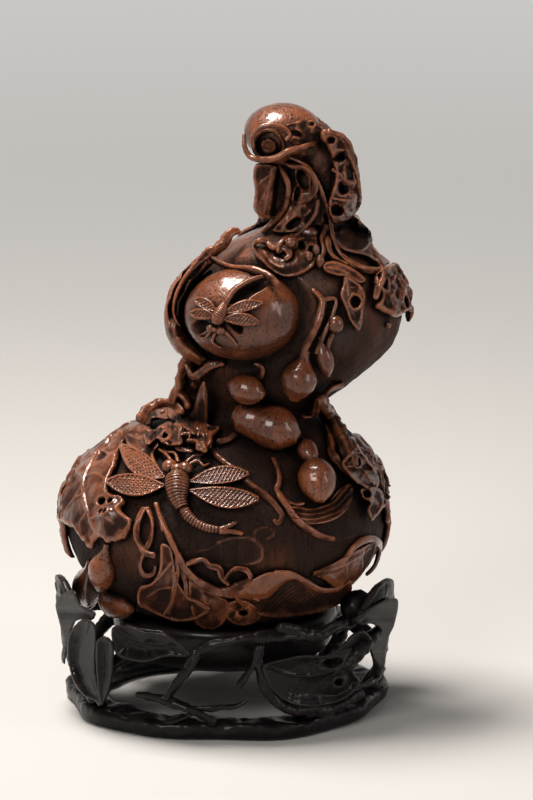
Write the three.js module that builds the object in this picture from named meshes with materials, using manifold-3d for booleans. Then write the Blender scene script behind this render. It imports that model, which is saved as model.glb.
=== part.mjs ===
// A desk carving: a double gourd cut from one bamboo root, with young gourds, vines, leaves and two
// dragonflies in high relief, standing in the dished seat of an openwork wooden stand of leafy branches.
// Millimetres, +Z up, the front towards -Y, the origin on the floor under the middle of the object.
import * as THREE from "three";
import { mergeVertices } from "three/addons/utils/BufferGeometryUtils.js";
import Module from "manifold-3d";

const wasm = await Module();
wasm.setup();

// Driving dimensions of the gourd
const GOURD_BOTTOM = 29; // above the floor
const LOWER_RADIUS = 56.5;
const LOWER_HALF_HEIGHT = 39.5;
const LOWER_DATUM = 33; // above the gourd's bottom: where the lower lobe's motifs are measured from
const LOBE_SPACING = 80; // from there to the upper lobe's centre
const UPPER_RADIUS = 38;
const UPPER_DEPTH = 0.87; // how deep the upper lobe is for its width
const UPPER_HALF_HEIGHT = 32;
const UPPER_OFFSET = 25; // how far the upper lobe leans to the right
const WAIST_RADIUS = 22;
const NECK_RADIUS = 9.5;
const NECK_RISE = 54; // from the upper lobe's centre to the bend of the neck
const NECK_OFFSET = 8.5; // how far the neck leans on from there
const SHOULDER_BLEND = 14; // how softly the lobes run into the waist and neck
const STEM_RADIUS = 6.2; // the cut stem end at the tip

// Driving dimensions of the motifs
const LEAF_THICKNESS = 1.6;
const WING_THICKNESS = 1.1;
const THICK_VINE = 1.9;
const VINE = 1.5;
const TENDRIL = 1.2;
const CLEARANCE = 0.45; // between a skin's true curve and the underside of what lies on it
const GAP = 0.3; // what each piece keeps from the one that it is cut back from
const FINENESS = 0.2; // slivers thinner than this are smoothed away

// Driving dimensions of the stand
const FOOT_RADIUS = 50; // to the middle of the root-like ring on the floor
const FOOT_WIDTH = 13;
const FOOT_HEIGHT = 7;
const SEAT_RADIUS = 40;
const SEAT_BOTTOM = 19;
const SEAT_TOP = 36;
const DRUM_OUTSET = 3; // from the foot ring's middle out to the drum that the stand's leaves lie on
const DRUM_FLARE = 0.12; // how much wider it gets with each millimetre of height
const BRANCH = 2.6;
const STAND_LEAF_THICKNESS = 2;

// The front is laid out as it is seen from a little above the horizon
const SIGHT_TILT = THREE.MathUtils.degToRad(14);
const REACH = 130; // longer than any sight line inside the object

const LOWER_CENTRE = GOURD_BOTTOM + LOWER_HALF_HEIGHT;
const DRUM_RADIUS = FOOT_RADIUS + DRUM_OUTSET;

// Where each part's motifs are measured from, and how much wider and taller the part is than in the
// layout, which was drawn for a lower radius of 56.5 and so on: the motifs' places follow the sizes
const LOWER = {
  x: 0,
  z: GOURD_BOTTOM + LOWER_DATUM,
  wide: LOWER_RADIUS / 56.5,
  tall: LOWER_HALF_HEIGHT / 39.5,
};
const UPPER = {
  x: UPPER_OFFSET,
  z: LOWER.z + LOBE_SPACING,
  wide: UPPER_RADIUS / 38,
  tall: NECK_RISE / 54,
};
const NECK = {
  x: UPPER.x + NECK_OFFSET,
  z: UPPER.z + NECK_RISE,
  wide: NECK_RADIUS / 9.5,
  tall: NECK_RADIUS / 9.5,
};
const FLOOR = { x: 0, z: 0, wide: FOOT_RADIUS / 50, tall: FOOT_RADIUS / 50 };

const BAMBOO = new THREE.MeshStandardMaterial({ color: 0x6b3a24, roughness: 0.42, metalness: 0 });
const DARK_WOOD = new THREE.MeshStandardMaterial({ color: 0x1c1817, roughness: 0.32, metalness: 0 });

const V = (x, y, z) => new THREE.Vector3(x, y, z);
const lerp = THREE.MathUtils.lerp;
const smooth = THREE.MathUtils.smoothstep;
const range = (n) => [...Array(n).keys()];

// The larger of two radii, rounded off where they are nearly alike
function softMax(a, b, blend) {
  const near = Math.max(blend - Math.abs(a - b), 0) / blend;
  return Math.max(a, b) + (near * near * blend) / 4;
}

// The gourd's axis leans to the right from the lower lobe's shoulder, and on at the neck
function axisX(z) {
  const lean = smooth(z, LOWER.z + 12, UPPER.z + 2) * UPPER.x;
  return lean + smooth(z, UPPER.z + 26, NECK.z - 6) * (NECK.x - UPPER.x);
}

const lobeRadius = (z, centre, halfHeight, radius) =>
  radius * Math.sqrt(Math.max(1 - ((z - centre) / halfHeight) ** 2, 0));

// Half the gourd's width at each height
function gourdRadius(z) {
  const lobe = lobeRadius(z, LOWER_CENTRE, LOWER_HALF_HEIGHT, LOWER_RADIUS);
  if (z < LOWER_CENTRE) return lobe;
  const top = lobeRadius(z, UPPER.z, UPPER_HALF_HEIGHT, UPPER_RADIUS);
  const column = lerp(WAIST_RADIUS, NECK_RADIUS, smooth(z, LOWER.z + 50, NECK.z - 8));
  return softMax(softMax(top, column, SHOULDER_BLEND), lobe, SHOULDER_BLEND);
}

// Its depth for its width: round below, flatter at the upper lobe
const gourdDepth = (z) =>
  lerp(1, UPPER_DEPTH, smooth(z, UPPER.z - 30, UPPER.z) - smooth(z, UPPER.z + 10, UPPER.z + 30));

// How far a point is outside a body of oval sections, allowing for the slope of its skin there
const turned = (axis, radius, depth) => (p) => {
  const outside = (z) => Math.hypot(p.x - axis(z), p.y / depth(z)) - radius(z);
  const step = 0.05;
  const slope = (outside(p.z + step) - outside(p.z - step)) / (2 * step);
  return outside(p.z) / Math.hypot(1, Math.min(Math.abs(slope), 6));
};

// The same for an ellipsoid
const oval = ({ centre, radii }) => (p) => {
  const unit = p.clone().sub(centre).divide(radii);
  const steep = unit.clone().divide(radii).length();
  return (unit.length() * (unit.length() - 1)) / steep;
};

const YOUNG = {
  centre: V(UPPER.x - 18.6 * UPPER.wide, 8 - UPPER_RADIUS * UPPER_DEPTH, UPPER.z + 6.6 * UPPER.tall),
  radii: V(20.3, 16, 15.9).multiplyScalar(UPPER.wide),
};

// The tip bends over to the left and the front, to its cut stem: offsets from the bend of the neck
const NECK_SPINE = [[-1, 0, -14], [0.5, 0, -3], [-3, -1, 6]];
const NOSE_SPINE = [[-14, -5, 10], [-16, -9, 10.5], [-17.5, -13, 10.8]];
const STEM_FACE = [-18.2, -16, 10.9];
const fromNeck = (offset) => V(...offset).multiplyScalar(NECK.wide).add(V(NECK.x, 0, NECK.z));
const CAP = { centre: fromNeck([-13.3, -3, 10.4]), radii: V(14, 13, 13).multiplyScalar(NECK.wide) };

const GOURD_SKIN = turned(axisX, gourdRadius, gourdDepth);
const STAND_SKIN = turned(() => 0, (z) => DRUM_RADIUS + DRUM_FLARE * z, () => 1);

// A sight line's own axes, from `turn` degrees round to the right and `tilt` radians down
function sight(turn, tilt) {
  const a = THREE.MathUtils.degToRad(turn);
  const level = V(-Math.sin(a), Math.cos(a), 0);
  return {
    right: V(Math.cos(a), Math.sin(a), 0),
    up: level.clone().multiplyScalar(Math.sin(tilt)).setZ(Math.cos(tilt)),
    away: level.clone().multiplyScalar(Math.cos(tilt)).setZ(-Math.sin(tilt)),
  };
}

// Where a sight line first comes `lift` mm from a skin, or its nearest point if it passes by
function meeting(skin, at, lift) {
  const outside = (s) => skin(at(s)) - lift;
  const step = 2;
  let nearest = -REACH;
  for (let s = -REACH; s < REACH; s += step) {
    if (outside(s) <= 0) {
      let [far, near] = [s, s - step];
      for (let i = 0; i < 12; i++) {
        const middle = (far + near) / 2;
        if (outside(middle) <= 0) far = middle;
        else near = middle;
      }
      return at(far);
    }
    if (outside(s) < outside(nearest)) nearest = s;
  }
  return at(nearest);
}

// Places on a skin as one side sees it: u mm of the layout to the right of a datum and w mm above it,
// lifted off the skin. `read` gives the u and w of a point.
function view(skin, datum, turn = 0, tilt = SIGHT_TILT) {
  const { right, up, away } = sight(turn, tilt);
  const origin = V(datum.x, 0, datum.z);
  const place = (u, w, lift) => {
    const start = origin.clone().addScaledVector(right, u * datum.wide).addScaledVector(up, w * datum.tall);
    return meeting(skin, (s) => start.clone().addScaledVector(away, s), lift);
  };
  place.read = (p) => {
    const offset = p.clone().sub(origin);
    return [offset.dot(right) / datum.wide, offset.dot(up) / datum.tall];
  };
  return place;
}

const onLower = (turn, tilt) => view(GOURD_SKIN, LOWER, turn, tilt);
const onUpper = (turn, tilt) => view(GOURD_SKIN, UPPER, turn, tilt);
const onStand = (turn, tilt) => view(STAND_SKIN, FLOOR, turn, tilt);

// Places on an upright plane in front of the gourd's middle, for what stands free of the skin
const onPlane = (datum, depth) => (u, w, lift) => {
  const { right, up, away } = sight(0, SIGHT_TILT);
  const p = V(datum.x, 0, datum.z).addScaledVector(right, u * datum.wide).addScaledVector(up, w * datum.tall);
  return p.addScaledVector(away, (-depth * datum.wide - lift - p.y) / away.y);
};

// A place round the stand's middle, `turn` degrees from the front towards the right
function round(turn, radius, z) {
  const a = THREE.MathUtils.degToRad(turn);
  return V(radius * Math.sin(a), -radius * Math.cos(a), z);
}

// A route given as the front sees it, as another side sees it
const asSeen = (place, from, route) => route.map(([u, w]) => place.read(from(u, w, 0)));

// A lift that holds the underside of what lies on a skin clear of it
const clear = (place, lift, half) => (place.read ? Math.max(lift, half + CLEARANCE) : lift);

// A closed skin over rings of as many points each, with a fan over the first ring and the last
function loft(rings) {
  const n = rings[0].length;
  const last = rings.length - 1;
  const centre = (ring) => ring.reduce((sum, p) => sum.add(p), V(0, 0, 0)).divideScalar(n);
  const points = [...rings.flat(), centre(rings[0]), centre(rings[last])];
  const faces = [];
  range(last).forEach((i) =>
    range(n).forEach((j) => {
      const [a, b] = [i * n + j, i * n + ((j + 1) % n)];
      faces.push(a, b, b + n, a, b + n, a + n);
    }),
  );
  range(n).forEach((j) => {
    const k = (j + 1) % n;
    faces.push(rings.length * n, k, j);
    faces.push(rings.length * n + 1, last * n + j, last * n + k);
  });
  return new THREE.BufferGeometry().setFromPoints(points).setIndex(faces);
}

// A closed geometry as a solid, turned right side out if need be
function solid(geometry) {
  const bare = geometry.clone();
  bare.deleteAttribute("normal");
  bare.deleteAttribute("uv");
  const merged = mergeVertices(bare, 1e-4);
  const body = (corners) =>
    new wasm.Manifold(
      new wasm.Mesh({
        numProp: 3,
        vertProperties: merged.attributes.position.array,
        triVerts: new Uint32Array(corners),
      }),
    );
  const made = body(merged.index.array);
  return made.volume() > 0 ? made : body([...merged.index.array].reverse());
}

const join = (shapes) => shapes.reduce((sum, shape) => sum.add(shape));

// A value between evenly spaced ones, on a smooth curve through them
function sample(values, t) {
  const curve = new THREE.SplineCurve(values.map((value, i) => new THREE.Vector2(i, value)));
  return Math.max(curve.getPoint(t).y, 0.1);
}

// A round bar along a smooth curve, whose radius runs through `radii` from end to end
function bar(points, radii, grow, { sides = 5, steps, domed = true } = {}) {
  const count = steps ?? Math.ceil(points.length * 1.5);
  const curve = new THREE.CatmullRomCurve3(points, false, "centripetal");
  const { tangents, normals, binormals } = curve.computeFrenetFrames(count, false);
  const rings = range(count + 1).map((i) => {
    const t = i / count;
    const end = Number(i === count) - Number(i === 0);
    const radius = sample(radii, t) * (domed && end ? 0.45 : 1) + grow;
    const middle = curve.getPointAt(t).addScaledVector(tangents[i], end * grow);
    return range(sides).map((j) => {
      const a = (2 * Math.PI * j) / sides;
      const spoke = normals[i].clone().multiplyScalar(Math.cos(a));
      return middle.clone().addScaledVector(spoke.addScaledVector(binormals[i], Math.sin(a)), radius);
    });
  });
  return solid(loft(rings));
}

// A vine through places of u, w and lift
function vine(place, route, radii, grow, more) {
  const widths = Array.isArray(radii) ? radii : [radii, radii];
  const points = route.map(([u, w, lift], i) =>
    place(u, w, clear(place, lift, sample(widths, i / (route.length - 1)))),
  );
  return bar(points, widths, grow, more);
}

// Fruit outlines from stem to flower end, as shares of the widest radius
const ROUND_FRUIT = [0.2, 0.66, 0.9, 1, 0.96, 0.78, 0.34];
const PEAR_FRUIT = [0.2, 0.24, 0.44, 0.78, 1, 0.98, 0.74, 0.3];
const WAISTED_FRUIT = [0.3, 0.62, 0.74, 0.72, 0.84, 1, 0.98, 0.76, 0.32];

const fruitBetween = (stem, flower, radius, outline, grow) =>
  bar([stem, stem.clone().lerp(flower, 0.5), flower], outline.map((share) => share * radius), grow, {
    sides: 8,
    steps: outline.length,
    domed: false,
  });

// A fruit on a skin between the places of its stem and its flower end
const fruit = (place, stem, flower, radius, outline) => (grow) =>
  fruitBetween(place(...stem), place(...flower), radius, outline, grow);

// A leaf over a skin: its midrib's route, its half-widths to each side along it, the lift of the
// midrib and how much higher its edges stand
function leaf(place, rib, left, right, grow, more = {}) {
  const { lift = 1, edge = 0, thickness = LEAF_THICKNESS, rows = 7, columns = 2 } = more;
  const midrib = new THREE.CatmullRomCurve3(rib.map(([u, w]) => V(u, w, 0)), false, "centripetal");
  const across = range(2 * columns + 1).map((i) => i / columns - 1);
  const rings = range(rows + 1).map((i) => {
    const t = i / rows;
    const middle = midrib.getPointAt(t);
    const along = midrib.getTangentAt(t);
    const corner = (s, side) => {
      const reach = s * (sample(s < 0 ? left : right, t) + grow);
      const height = clear(place, lift + edge * s * s, thickness / 2) + side * (thickness / 2 + grow);
      return place(middle.x + along.y * reach, middle.y - along.x * reach, height);
    };
    return [...across.map((s) => corner(s, 1)), ...across.toReversed().map((s) => corner(s, -1))];
  });
  return solid(loft(rings));
}

// A motif of one leaf, and one of several vines
const leafOn = (place, rib, left, right, more) => (grow) => leaf(place, rib, left, right, grow, more);
const vines = (...routes) => (grow) =>
  join(routes.map(([place, route, radii, more]) => vine(place, route, radii, grow, more)));

function ovalBall({ centre, radii }, sides, levels, grow) {
  const ball = new THREE.SphereGeometry(1, sides, levels);
  ball.scale(radii.x + grow, radii.y + grow, radii.z + grow);
  return solid(ball.translate(centre.x, centre.y, centre.z));
}

// The gourd: both lobes, the waist and the neck in oval sections, then the tip
function gourdBody(grow) {
  const [levels, sides] = [24, 22];
  const foot = GOURD_BOTTOM + 1.2;
  const slope = (z) => gourdRadius(z + 0.5) - gourdRadius(z - 0.5);
  const rings = range(levels + 1).map((i) => {
    const z = lerp(foot, NECK.z - 2, i / levels);
    const radius = gourdRadius(z) + grow * Math.hypot(1, slope(Math.max(z, foot + 2)));
    return range(sides).map((j) => {
      const a = (2 * Math.PI * j) / sides;
      const y = radius * gourdDepth(z) * Math.sin(a);
      return V(axisX(z) + radius * Math.cos(a), y, i === 0 ? z - grow : z);
    });
  });
  const neckRadii = [1.07, 1.09, 1].map((share) => share * NECK_RADIUS);
  const noseRadii = [1.16, 1, 0.78].map((share) => share * NECK_RADIUS);
  return join([
    solid(loft(rings)),
    bar(NECK_SPINE.map(fromNeck), neckRadii, grow, { sides: 10, steps: 4 }),
    ovalBall(CAP, 12, 8, grow),
    bar(NOSE_SPINE.map(fromNeck), noseRadii, grow, { sides: 10, steps: 2, domed: false }),
  ]);
}

// The rim of the cut stem, with the pith standing in its hollow
function stemEnd(grow) {
  const face = fromNeck(STEM_FACE);
  const out = face.clone().sub(fromNeck(NOSE_SPINE[2])).normalize();
  const rim = STEM_RADIUS + grow;
  const hollow = [[1, 3], [0.87, 4], [0.68, 3], [0.48, 1], [0.39, 3.2], [0, 3.6]];
  const inner = grow ? [[rim, 4 + grow], [0, 4 + grow]] : hollow.map(([share, y]) => [share * rim, y]);
  const outline = [[0, 0], [rim, 0], ...inner].map(([r, y]) => new THREE.Vector2(r, y));
  const end = new THREE.LatheGeometry(outline, 12);
  end.applyQuaternion(new THREE.Quaternion().setFromUnitVectors(V(0, 1, 0), out));
  return solid(end.translate(...face.sub(out).toArray()));
}

// One wing of a dragonfly: slim, and broadest past its middle
function wing(place, [root, tip, width, bow], lift, grow) {
  const middle = [lerp(root[0], tip[0], 0.5), lerp(root[1], tip[1], 0.5) + bow];
  const widths = [0.25, 0.75, 1, 0.98, 0.75, 0.28].map((share) => share * width);
  const plate = { lift, thickness: WING_THICKNESS, rows: 5, columns: 1 };
  return leaf(place, [root, middle, tip], widths, widths, grow, plate);
}

// A dragonfly: a ringed body with two round eyes, four wings, a thin tail and legs
const dragonfly = (place, { size, body, eyes, wingLift, wings, tail, legs }) => (grow) => {
  const rings = range(9).map((i) => size * (1 - 0.07 * i) * (i % 2 ? 1.05 : 0.93));
  const tailRadii = [0.45, 0.36, 0.3].map((share) => share * size);
  const eyeRadii = V(1, 1, 1).multiplyScalar(0.72 * size);
  return join([
    vine(place, body, rings, grow, { sides: 6, steps: 8, domed: false }),
    vine(place, tail, tailRadii, grow),
    ...eyes.map((eye) => ovalBall({ centre: place(...eye), radii: eyeRadii }, 6, 4, grow)),
    ...wings.map((shape) => wing(place, shape, wingLift, grow)),
    ...legs.map((leg) => vine(place, leg, [0.8, 0.6], grow, { sides: 4, steps: 3 })),
  ]);
};

// Wings are given by root, tip, half-width and bow
const LARGE_DRAGONFLY = {
  size: 4.2,
  body: [[-17, 20.5, 4.6], [-16.2, 15, 4.4], [-15.5, 9.5, 3.2]],
  eyes: [[-19.7, 24.2, 3.8], [-14.3, 23, 3.8]],
  wingLift: 3.2,
  wings: [
    [[-18, 20], [-37, 31.5], 4.4, -0.5],
    [[-18, 17], [-42.5, 19], 4, -1],
    [[-14, 19], [9, 21.5], 3.6, 0.5],
    [[-14, 16], [12.5, 11.5], 4, 0],
  ],
  tail: [[-15.5, 10, 3], [-11, 5.5, 2.4], [-6, 2.5, 2], [-0.5, 1.2, 2], [7, 0.4, 1.8]],
  legs: [
    [[-19, 22, 2.4], [-23, 28, 2.2], [-20, 29.5, 1.6]],
    [[-14, 22, 2.4], [-9.5, 26, 2.2], [-6.5, 23.5, 1.6]],
  ],
};
const SMALL_DRAGONFLY = {
  size: 2.4,
  body: [[-28.2, -3.8, 2.8], [-26.5, -0.4, 2.6], [-24.5, 3, 2]],
  eyes: [[-29.7, -4.6, 2.2], [-26.4, -5.2, 2.2]],
  wingLift: 1.8,
  wings: [
    [[-27.2, 0], [-36, 5.2], 2, 0.3],
    [[-27.2, -1.5], [-37.5, 0.4], 2, 0.3],
    [[-26, -0.5], [-11.4, 3.3], 2, 0.6],
    [[-26, -2], [-12.5, -3.2], 2.2, 0.6],
  ],
  tail: [[-25, 2, 2], [-23, 6.1, 1.4]],
  legs: [[[-27, -3, 1.8], [-23, -8, 1.4], [-20.5, -11, 1.1]]],
};

// The sides that the motifs are laid out from
const lower = onLower();
const leftShoulder = onLower(-42, 0.6);
const topShoulder = onLower(-10, 0.9);
const rightShoulder = onLower(50, 0.5);
const rightSide = onLower(80);
const rightRear = onLower(115);
const rear = onLower(180);
const leftSide = onLower(-95);
const upper = onUpper();
const rightOfUpper = onUpper(40, 0.4);
const rearOfUpper = onUpper(180);
const young = view(oval(YOUNG), UPPER);
const cap = view(oval(CAP), NECK);

// The young gourds come first: what lies over them is cut back from them
const fruits = [
  ["young_gourd", (grow) => ovalBall(YOUNG, 16, 10, grow)],
  ["small_gourd_round", fruit(upper, [-23.5, -24.5, 5], [-11.5, -28.5, 6.5], 5.3, ROUND_FRUIT)],
  ["small_gourd_pear", fruit(upper, [4, -13, 2], [-0.5, -30, 7], 6.2, PEAR_FRUIT)],
  ["small_gourd_lying", fruit(upper, [-21.5, -34.5, 4.5], [0.5, -43.5, 6], 8, WAISTED_FRUIT)],
  ["small_gourd_bud", fruit(lower, [26, 35, 2.5], [31.5, 25.5, 4], 3.6, PEAR_FRUIT)],
  ["small_gourd_low", fruit(lower, [31.5, 27, 4], [33.5, 12, 4], 6.9, ROUND_FRUIT)],
  ["small_gourd_rear", fruit(upper, [8.5, -8, 1], [11.5, -21.5, 2.5], 3.4, PEAR_FRUIT)],
  ["hanging_gourd_upper", fruit(lower, [-41.5, -3.5, 1.5], [-44, -19.5, 3.5], 5.2, PEAR_FRUIT)],
  ["hanging_gourd_outer", fruit(lower, [-48, -10, 1.5], [-50, -26.5, 2], 5.2, PEAR_FRUIT)],
  ["hanging_gourd_lower", fruit(lower, [-43.5, -23, 2.5], [-33.5, -26.5, 2.5], 5.3, ROUND_FRUIT)],
  ["side_gourd", fruit(rightRear, [4, 6, 1.5], [8, -9, 5], 7.4, PEAR_FRUIT)],
  ["back_gourd_upper", fruit(rearOfUpper, [2, 4, 1.5], [-4, -14, 6], 8.2, PEAR_FRUIT)],
  ["back_gourd_low", fruit(rear, [-20, 2, 1], [-13, -14, 3], 7.6, WAISTED_FRUIT)],
];

// Vines, tendrils and leaves from the tip down to the waist
const upperMotifs = [
  ["small_dragonfly", dragonfly(young, SMALL_DRAGONFLY)],
  ["neck_vines", vines(
    [upper, [[-4, 54, 5], [1, 55, 5.5], [6, 50, 4], [9, 45.5, 3], [11.5, 39, 2.5], [13, 31, 2],
      [15, 24, 1.5], [19.5, 20, 1.5], [25.5, 17.5, 1.5], [30.5, 14, 1]], TENDRIL],
    [upper, [[-6.5, 54, 7], [-4, 49, 7], [-2.5, 44.5, 5], [-3, 40, 3], [-5, 36, 1.5], [-9.5, 32.5, 1],
      [-14.5, 30, 1]], THICK_VINE],
    [upper, [[-4, 52, 6], [3, 49.5, 5.5], [6.5, 45, 3.5], [5, 42, 3], [1.5, 40, 3], [-1.5, 43, 4]],
      TENDRIL],
    [upper, [[13.6, 28.5, 1.8], [19.5, 22.7, 1.4], [23.5, 22.7, 1.6], [26, 25.7, 1.6], [24.5, 29.2, 1]],
      TENDRIL],
  )],
  ["neck_handle", vines([upper, [[9, 62, 8], [15.5, 60, 7], [19.5, 55, 6], [21.5, 48, 6], [22, 42, 6],
    [20.5, 36, 4], [16.5, 32.8, 2], [13.5, 31.8, 1]], [2.2, 1.7]])],
  ["tip_leaf", leafOn(onPlane(NECK, 10), [[-20, -2], [-20.5, -9], [-20, -16], [-18.5, -21]],
    [1, 2.4, 2.6, 3, 1.2], [1, 3, 4.4, 4.6, 1.2], { lift: 0, edge: -2.4, thickness: 2 })],
  ["cap_leaf", leafOn(cap, [[-1, 10], [4.5, 6], [7, -1], [6.5, -9]],
    [1, 4, 5.5, 4.5, 1.4], [1, 3.4, 4.5, 4, 1.4])],
  ["neck_leaf", leafOn(upper, [[-14, 24.5], [-6, 28], [2, 31], [7.5, 37]],
    [1, 4, 4.4, 4, 2, 0.8], [1, 4.5, 6.5, 6, 3, 0.8], { lift: 1.8, edge: 0.8 })],
  ["mid_vine", vines(
    [upper, [[7, 10.5, 1], [10, 5.5, 1.4], [8, -1, 1.8], [5, -6, 2.2], [3, -11, 2.4], [2, -16, 3]],
      [1.3, THICK_VINE, VINE]],
    [upper, [[10, 5.5, 2], [14.5, 5.5, 1.4], [12.5, -1, 1.4], [9.5, -7.5, 1.2]], TENDRIL],
  )],
  ["fruit_stem_vine", vines(
    [onPlane(UPPER, 14), [[-30.5, 20, 0], [-22.5, 16.5, 10], [-15, 15.5, 17], [-9.5, 13.5, 21],
      [-6, 10, 24]], [THICK_VINE, 1.4, THICK_VINE]],
    [onPlane(UPPER, 14), [[-34, 18, 0], [-30.5, 20, 0], [-28, 23, -1], [-25.5, 25.5, -2],
      [-23, 28.5, -3], [-19.5, 29.5, -6]], THICK_VINE],
  )],
  ["arch_leaf", leafOn(onPlane(UPPER, 20), [[-31, 20], [-39, 12], [-43.5, 1], [-42, -8], [-32, -17.5]],
    [3, 3.6, 3, 3.4, 3.6, 2.4], [1.4, 2.6, 2.8, 2.8, 3.2, 2.2],
    { lift: 0, edge: -2.5, thickness: 6, rows: 8, columns: 1 })],
  ["waist_strands", vines(
    [onPlane(UPPER, 18), [[-37, -14, 0], [-40.5, -20.5, -2], [-41.5, -26, -3], [-44, -32, -5]],
      THICK_VINE],
    [onPlane(UPPER, 18), [[-38.5, -16.5, 0], [-36, -21.5, 2], [-30.5, -18.5, 4], [-24.5, -17, 6]], VINE],
    [onPlane(UPPER, 13), [[-55, -38, 8], [-53, -34.5, 4], [-48.5, -31.5, 0], [-43.5, -31.5, 0],
      [-39.5, -35, 6]], THICK_VINE],
  )],
  ["shoulder_leaf_right", leafOn(rightOfUpper,
    asSeen(rightOfUpper, upper, [[14, 17], [22, 12], [29, 6], [34, -2], [36, -9]]),
    [1.5, 5, 8, 8.5, 6.5, 4, 1.5], [1.5, 5, 8.5, 7, 9, 5, 1.5], { lift: 2.2, edge: -0.9 })],
  ["back_leaf_upper", leafOn(rearOfUpper, [[-6, 26], [8, 20], [18, 9], [22, -6]],
    [2, 7, 9, 7, 8, 5, 2], [2, 7, 9, 7, 8, 5, 2])],
];

// Vines, leaves and the large dragonfly round the lower lobe
const blossomRib = asSeen(topShoulder, lower, [[-25, 33], [-18, 34.5], [-10, 33.5], [-5.5, 28]]);
const lowerMotifs = [
  ["large_dragonfly", dragonfly(lower, LARGE_DRAGONFLY)],
  ["shoulder_leaf_left", leafOn(leftShoulder,
    asSeen(leftShoulder, lower, [[-25, 36], [-38, 33], [-48, 22], [-50, 8], [-43, -6]]),
    [2, 9, 13, 11, 13, 15, 10, 2], [2, 8, 13, 11, 14, 15, 10, 2], { lift: 2, rows: 8 })],
  ["crumpled_blossom", (grow) => join([
    leaf(topShoulder, blossomRib, [1.5, 7, 10, 9, 5, 1.5], [1.5, 3, 4.4, 5, 4, 1.5], grow,
      { lift: 2.4, edge: 1.2, thickness: 2.6 }),
    vine(lower, [[-9, 31, 2], [-5, 29, 1.4], [2, 23.5, 1.4], [12, 18.5, 1.4], [18, 10, 1.4],
      [19.5, 6.5, 1.4], [17.5, 4.5, 1]], VINE, grow),
  ])],
  ["waist_vine", vines([lower, [[16, 29.5, 1.6], [19, 24, 1.6], [19.5, 18, 1.8], [22, 11, 2],
    [25, 5.5, 1.8], [29.5, 1.5, 1.6], [34.5, -1, 1.4], [39, -1.5, 1]], [TENDRIL, VINE, 2, VINE]])],
  ["waist_trunk", vines(
    [lower, [[33.5, 48, 5], [37.5, 41, 3.6], [40.5, 35.5, 3], [43, 30, 3], [45.5, 23, 3]],
      [2.6, 3.4, 3.6, 2.8], { sides: 7 }],
    [lower, [[27, 41.5, 3.5], [31, 42, 4], [33.5, 46.5, 4], [37, 51, 2], [42, 53, 1]], TENDRIL],
  )],
  ["shoulder_cluster_right", leafOn(rightShoulder,
    asSeen(rightShoulder, lower, [[45, 29], [49, 23], [52, 16], [52, 8]]),
    [1.5, 6, 7.5, 8, 6, 2], [1.5, 3, 3.5, 4, 3, 1.5], { lift: 2, edge: 0.6, thickness: 2.6 })],
  ["fan_leaf", leafOn(lower, [[24.5, 11], [32, 8.5], [39, 11], [43.5, 18]],
    [1, 3.2, 4, 4, 3.4, 1.2], [1, 2, 2.6, 3, 3.4, 1.2], { lift: 1.4, edge: 0.6 })],
  ["main_vine", vines(
    [lower, [[-24, 11, 2], [-22, 3, 2.2], [-18.5, -4, 2.4], [-15, -9.5, 2.6], [-11.5, -15, 2.8],
      [-6, -19.5, 2.8], [-0.5, -19.5, 2.6], [5.5, -18, 2.4], [12, -15.5, 2]], [VINE, 1.7, 2.2, 2.4, VINE]],
    [lower, [[-13.5, -9.5, 2.4], [-7.5, -9.5, 1.4], [-2.5, -10.5, 1.6], [-0.5, -14.5, 1.8],
      [2.5, -17.5, 2]], TENDRIL],
    [lower, [[-18.5, -3, 2.4], [-12.5, -14.5, 2], [-11.5, -22, 1.4], [-4.5, -26, 1]], TENDRIL],
  )],
  ["loop_vines", vines(
    [lower, [[-27, 8, 1.4], [-30, 3, 2], [-30.5, -2, 2.2], [-28, -6, 2.2], [-23, -7.5, 1.8]], VINE],
    [lower, [[-27, 8, 1.4], [-25.5, 3, 1.8], [-26.5, -3, 1.8], [-28, -6, 2.2]], TENDRIL],
    [lower, [[-28, -6, 2.2], [-29.5, -12, 1.6], [-27.5, -15, 1.4], [-24.5, -14, 1]], TENDRIL],
  )],
  ["curled_leaf", leafOn(lower, [[-19.5, -5.5], [-20, -14], [-23, -21], [-27, -27.5]],
    [0.8, 3, 3.4, 7, 6, 2], [0.8, 2.4, 3, 5, 5, 2], { lift: 1.3, edge: 1.5 })],
  ["wavy_leaf", leafOn(lower, [[3, -20], [13, -20.5], [25, -21], [36, -22], [44, -19]],
    [0.8, 3, 6, 7, 4.5, 4.5, 2.5], [0.8, 4, 8, 8, 6, 3.5, 1], { lift: 1.6, edge: 1, rows: 8 })],
  ["rim_leaf_right", leafOn(rightShoulder,
    asSeen(rightShoulder, lower, [[30, -14.5], [38, -13], [46, -9], [52, -4]]),
    [0.8, 2, 3, 3, 2.4, 1], [0.8, 2.6, 6, 8, 7, 3], { edge: 0.8 })],
  ["side_leaf_right", leafOn(rightSide, [[-14, 22], [-2, 16], [8, 4], [12, -10], [8, -20]],
    [2, 9, 12, 10, 12, 8, 2], [2, 8, 12, 9, 11, 7, 2], { lift: 1.4 })],
  ["side_leaf_left", leafOn(leftSide, [[-14, 6], [-2, 2], [8, -8], [12, -20]],
    [2, 7, 10, 8, 8, 2], [2, 7, 10, 8, 8, 2], { lift: 1.4 })],
  ["back_vine", vines(
    [rear, [[-38, 16, 1], [-26, 22, 2], [-14, 18, 2.4], [-4, 8, 2.4], [6, 2, 2.4], [18, 2, 2], [30, 8, 1]],
      [VINE, 2.4, 2.2, VINE]],
    [rear, [[-4, 8, 2.4], [-2, -4, 2.2], [5, -12, 2], [14, -14, 1.6], [20, -9, 1]], VINE],
    [rear, [[-14, 18, 2.4], [-9, 28, 2], [-8, 38, 2]], VINE],
  )],
  ["back_leaf_low", leafOn(rear, [[8, 28], [20, 25], [31, 17], [38, 4]],
    [2, 8, 10, 9, 10, 6, 2], [2, 7, 10, 8, 9, 6, 2], { lift: 1.4 })],
];

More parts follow.
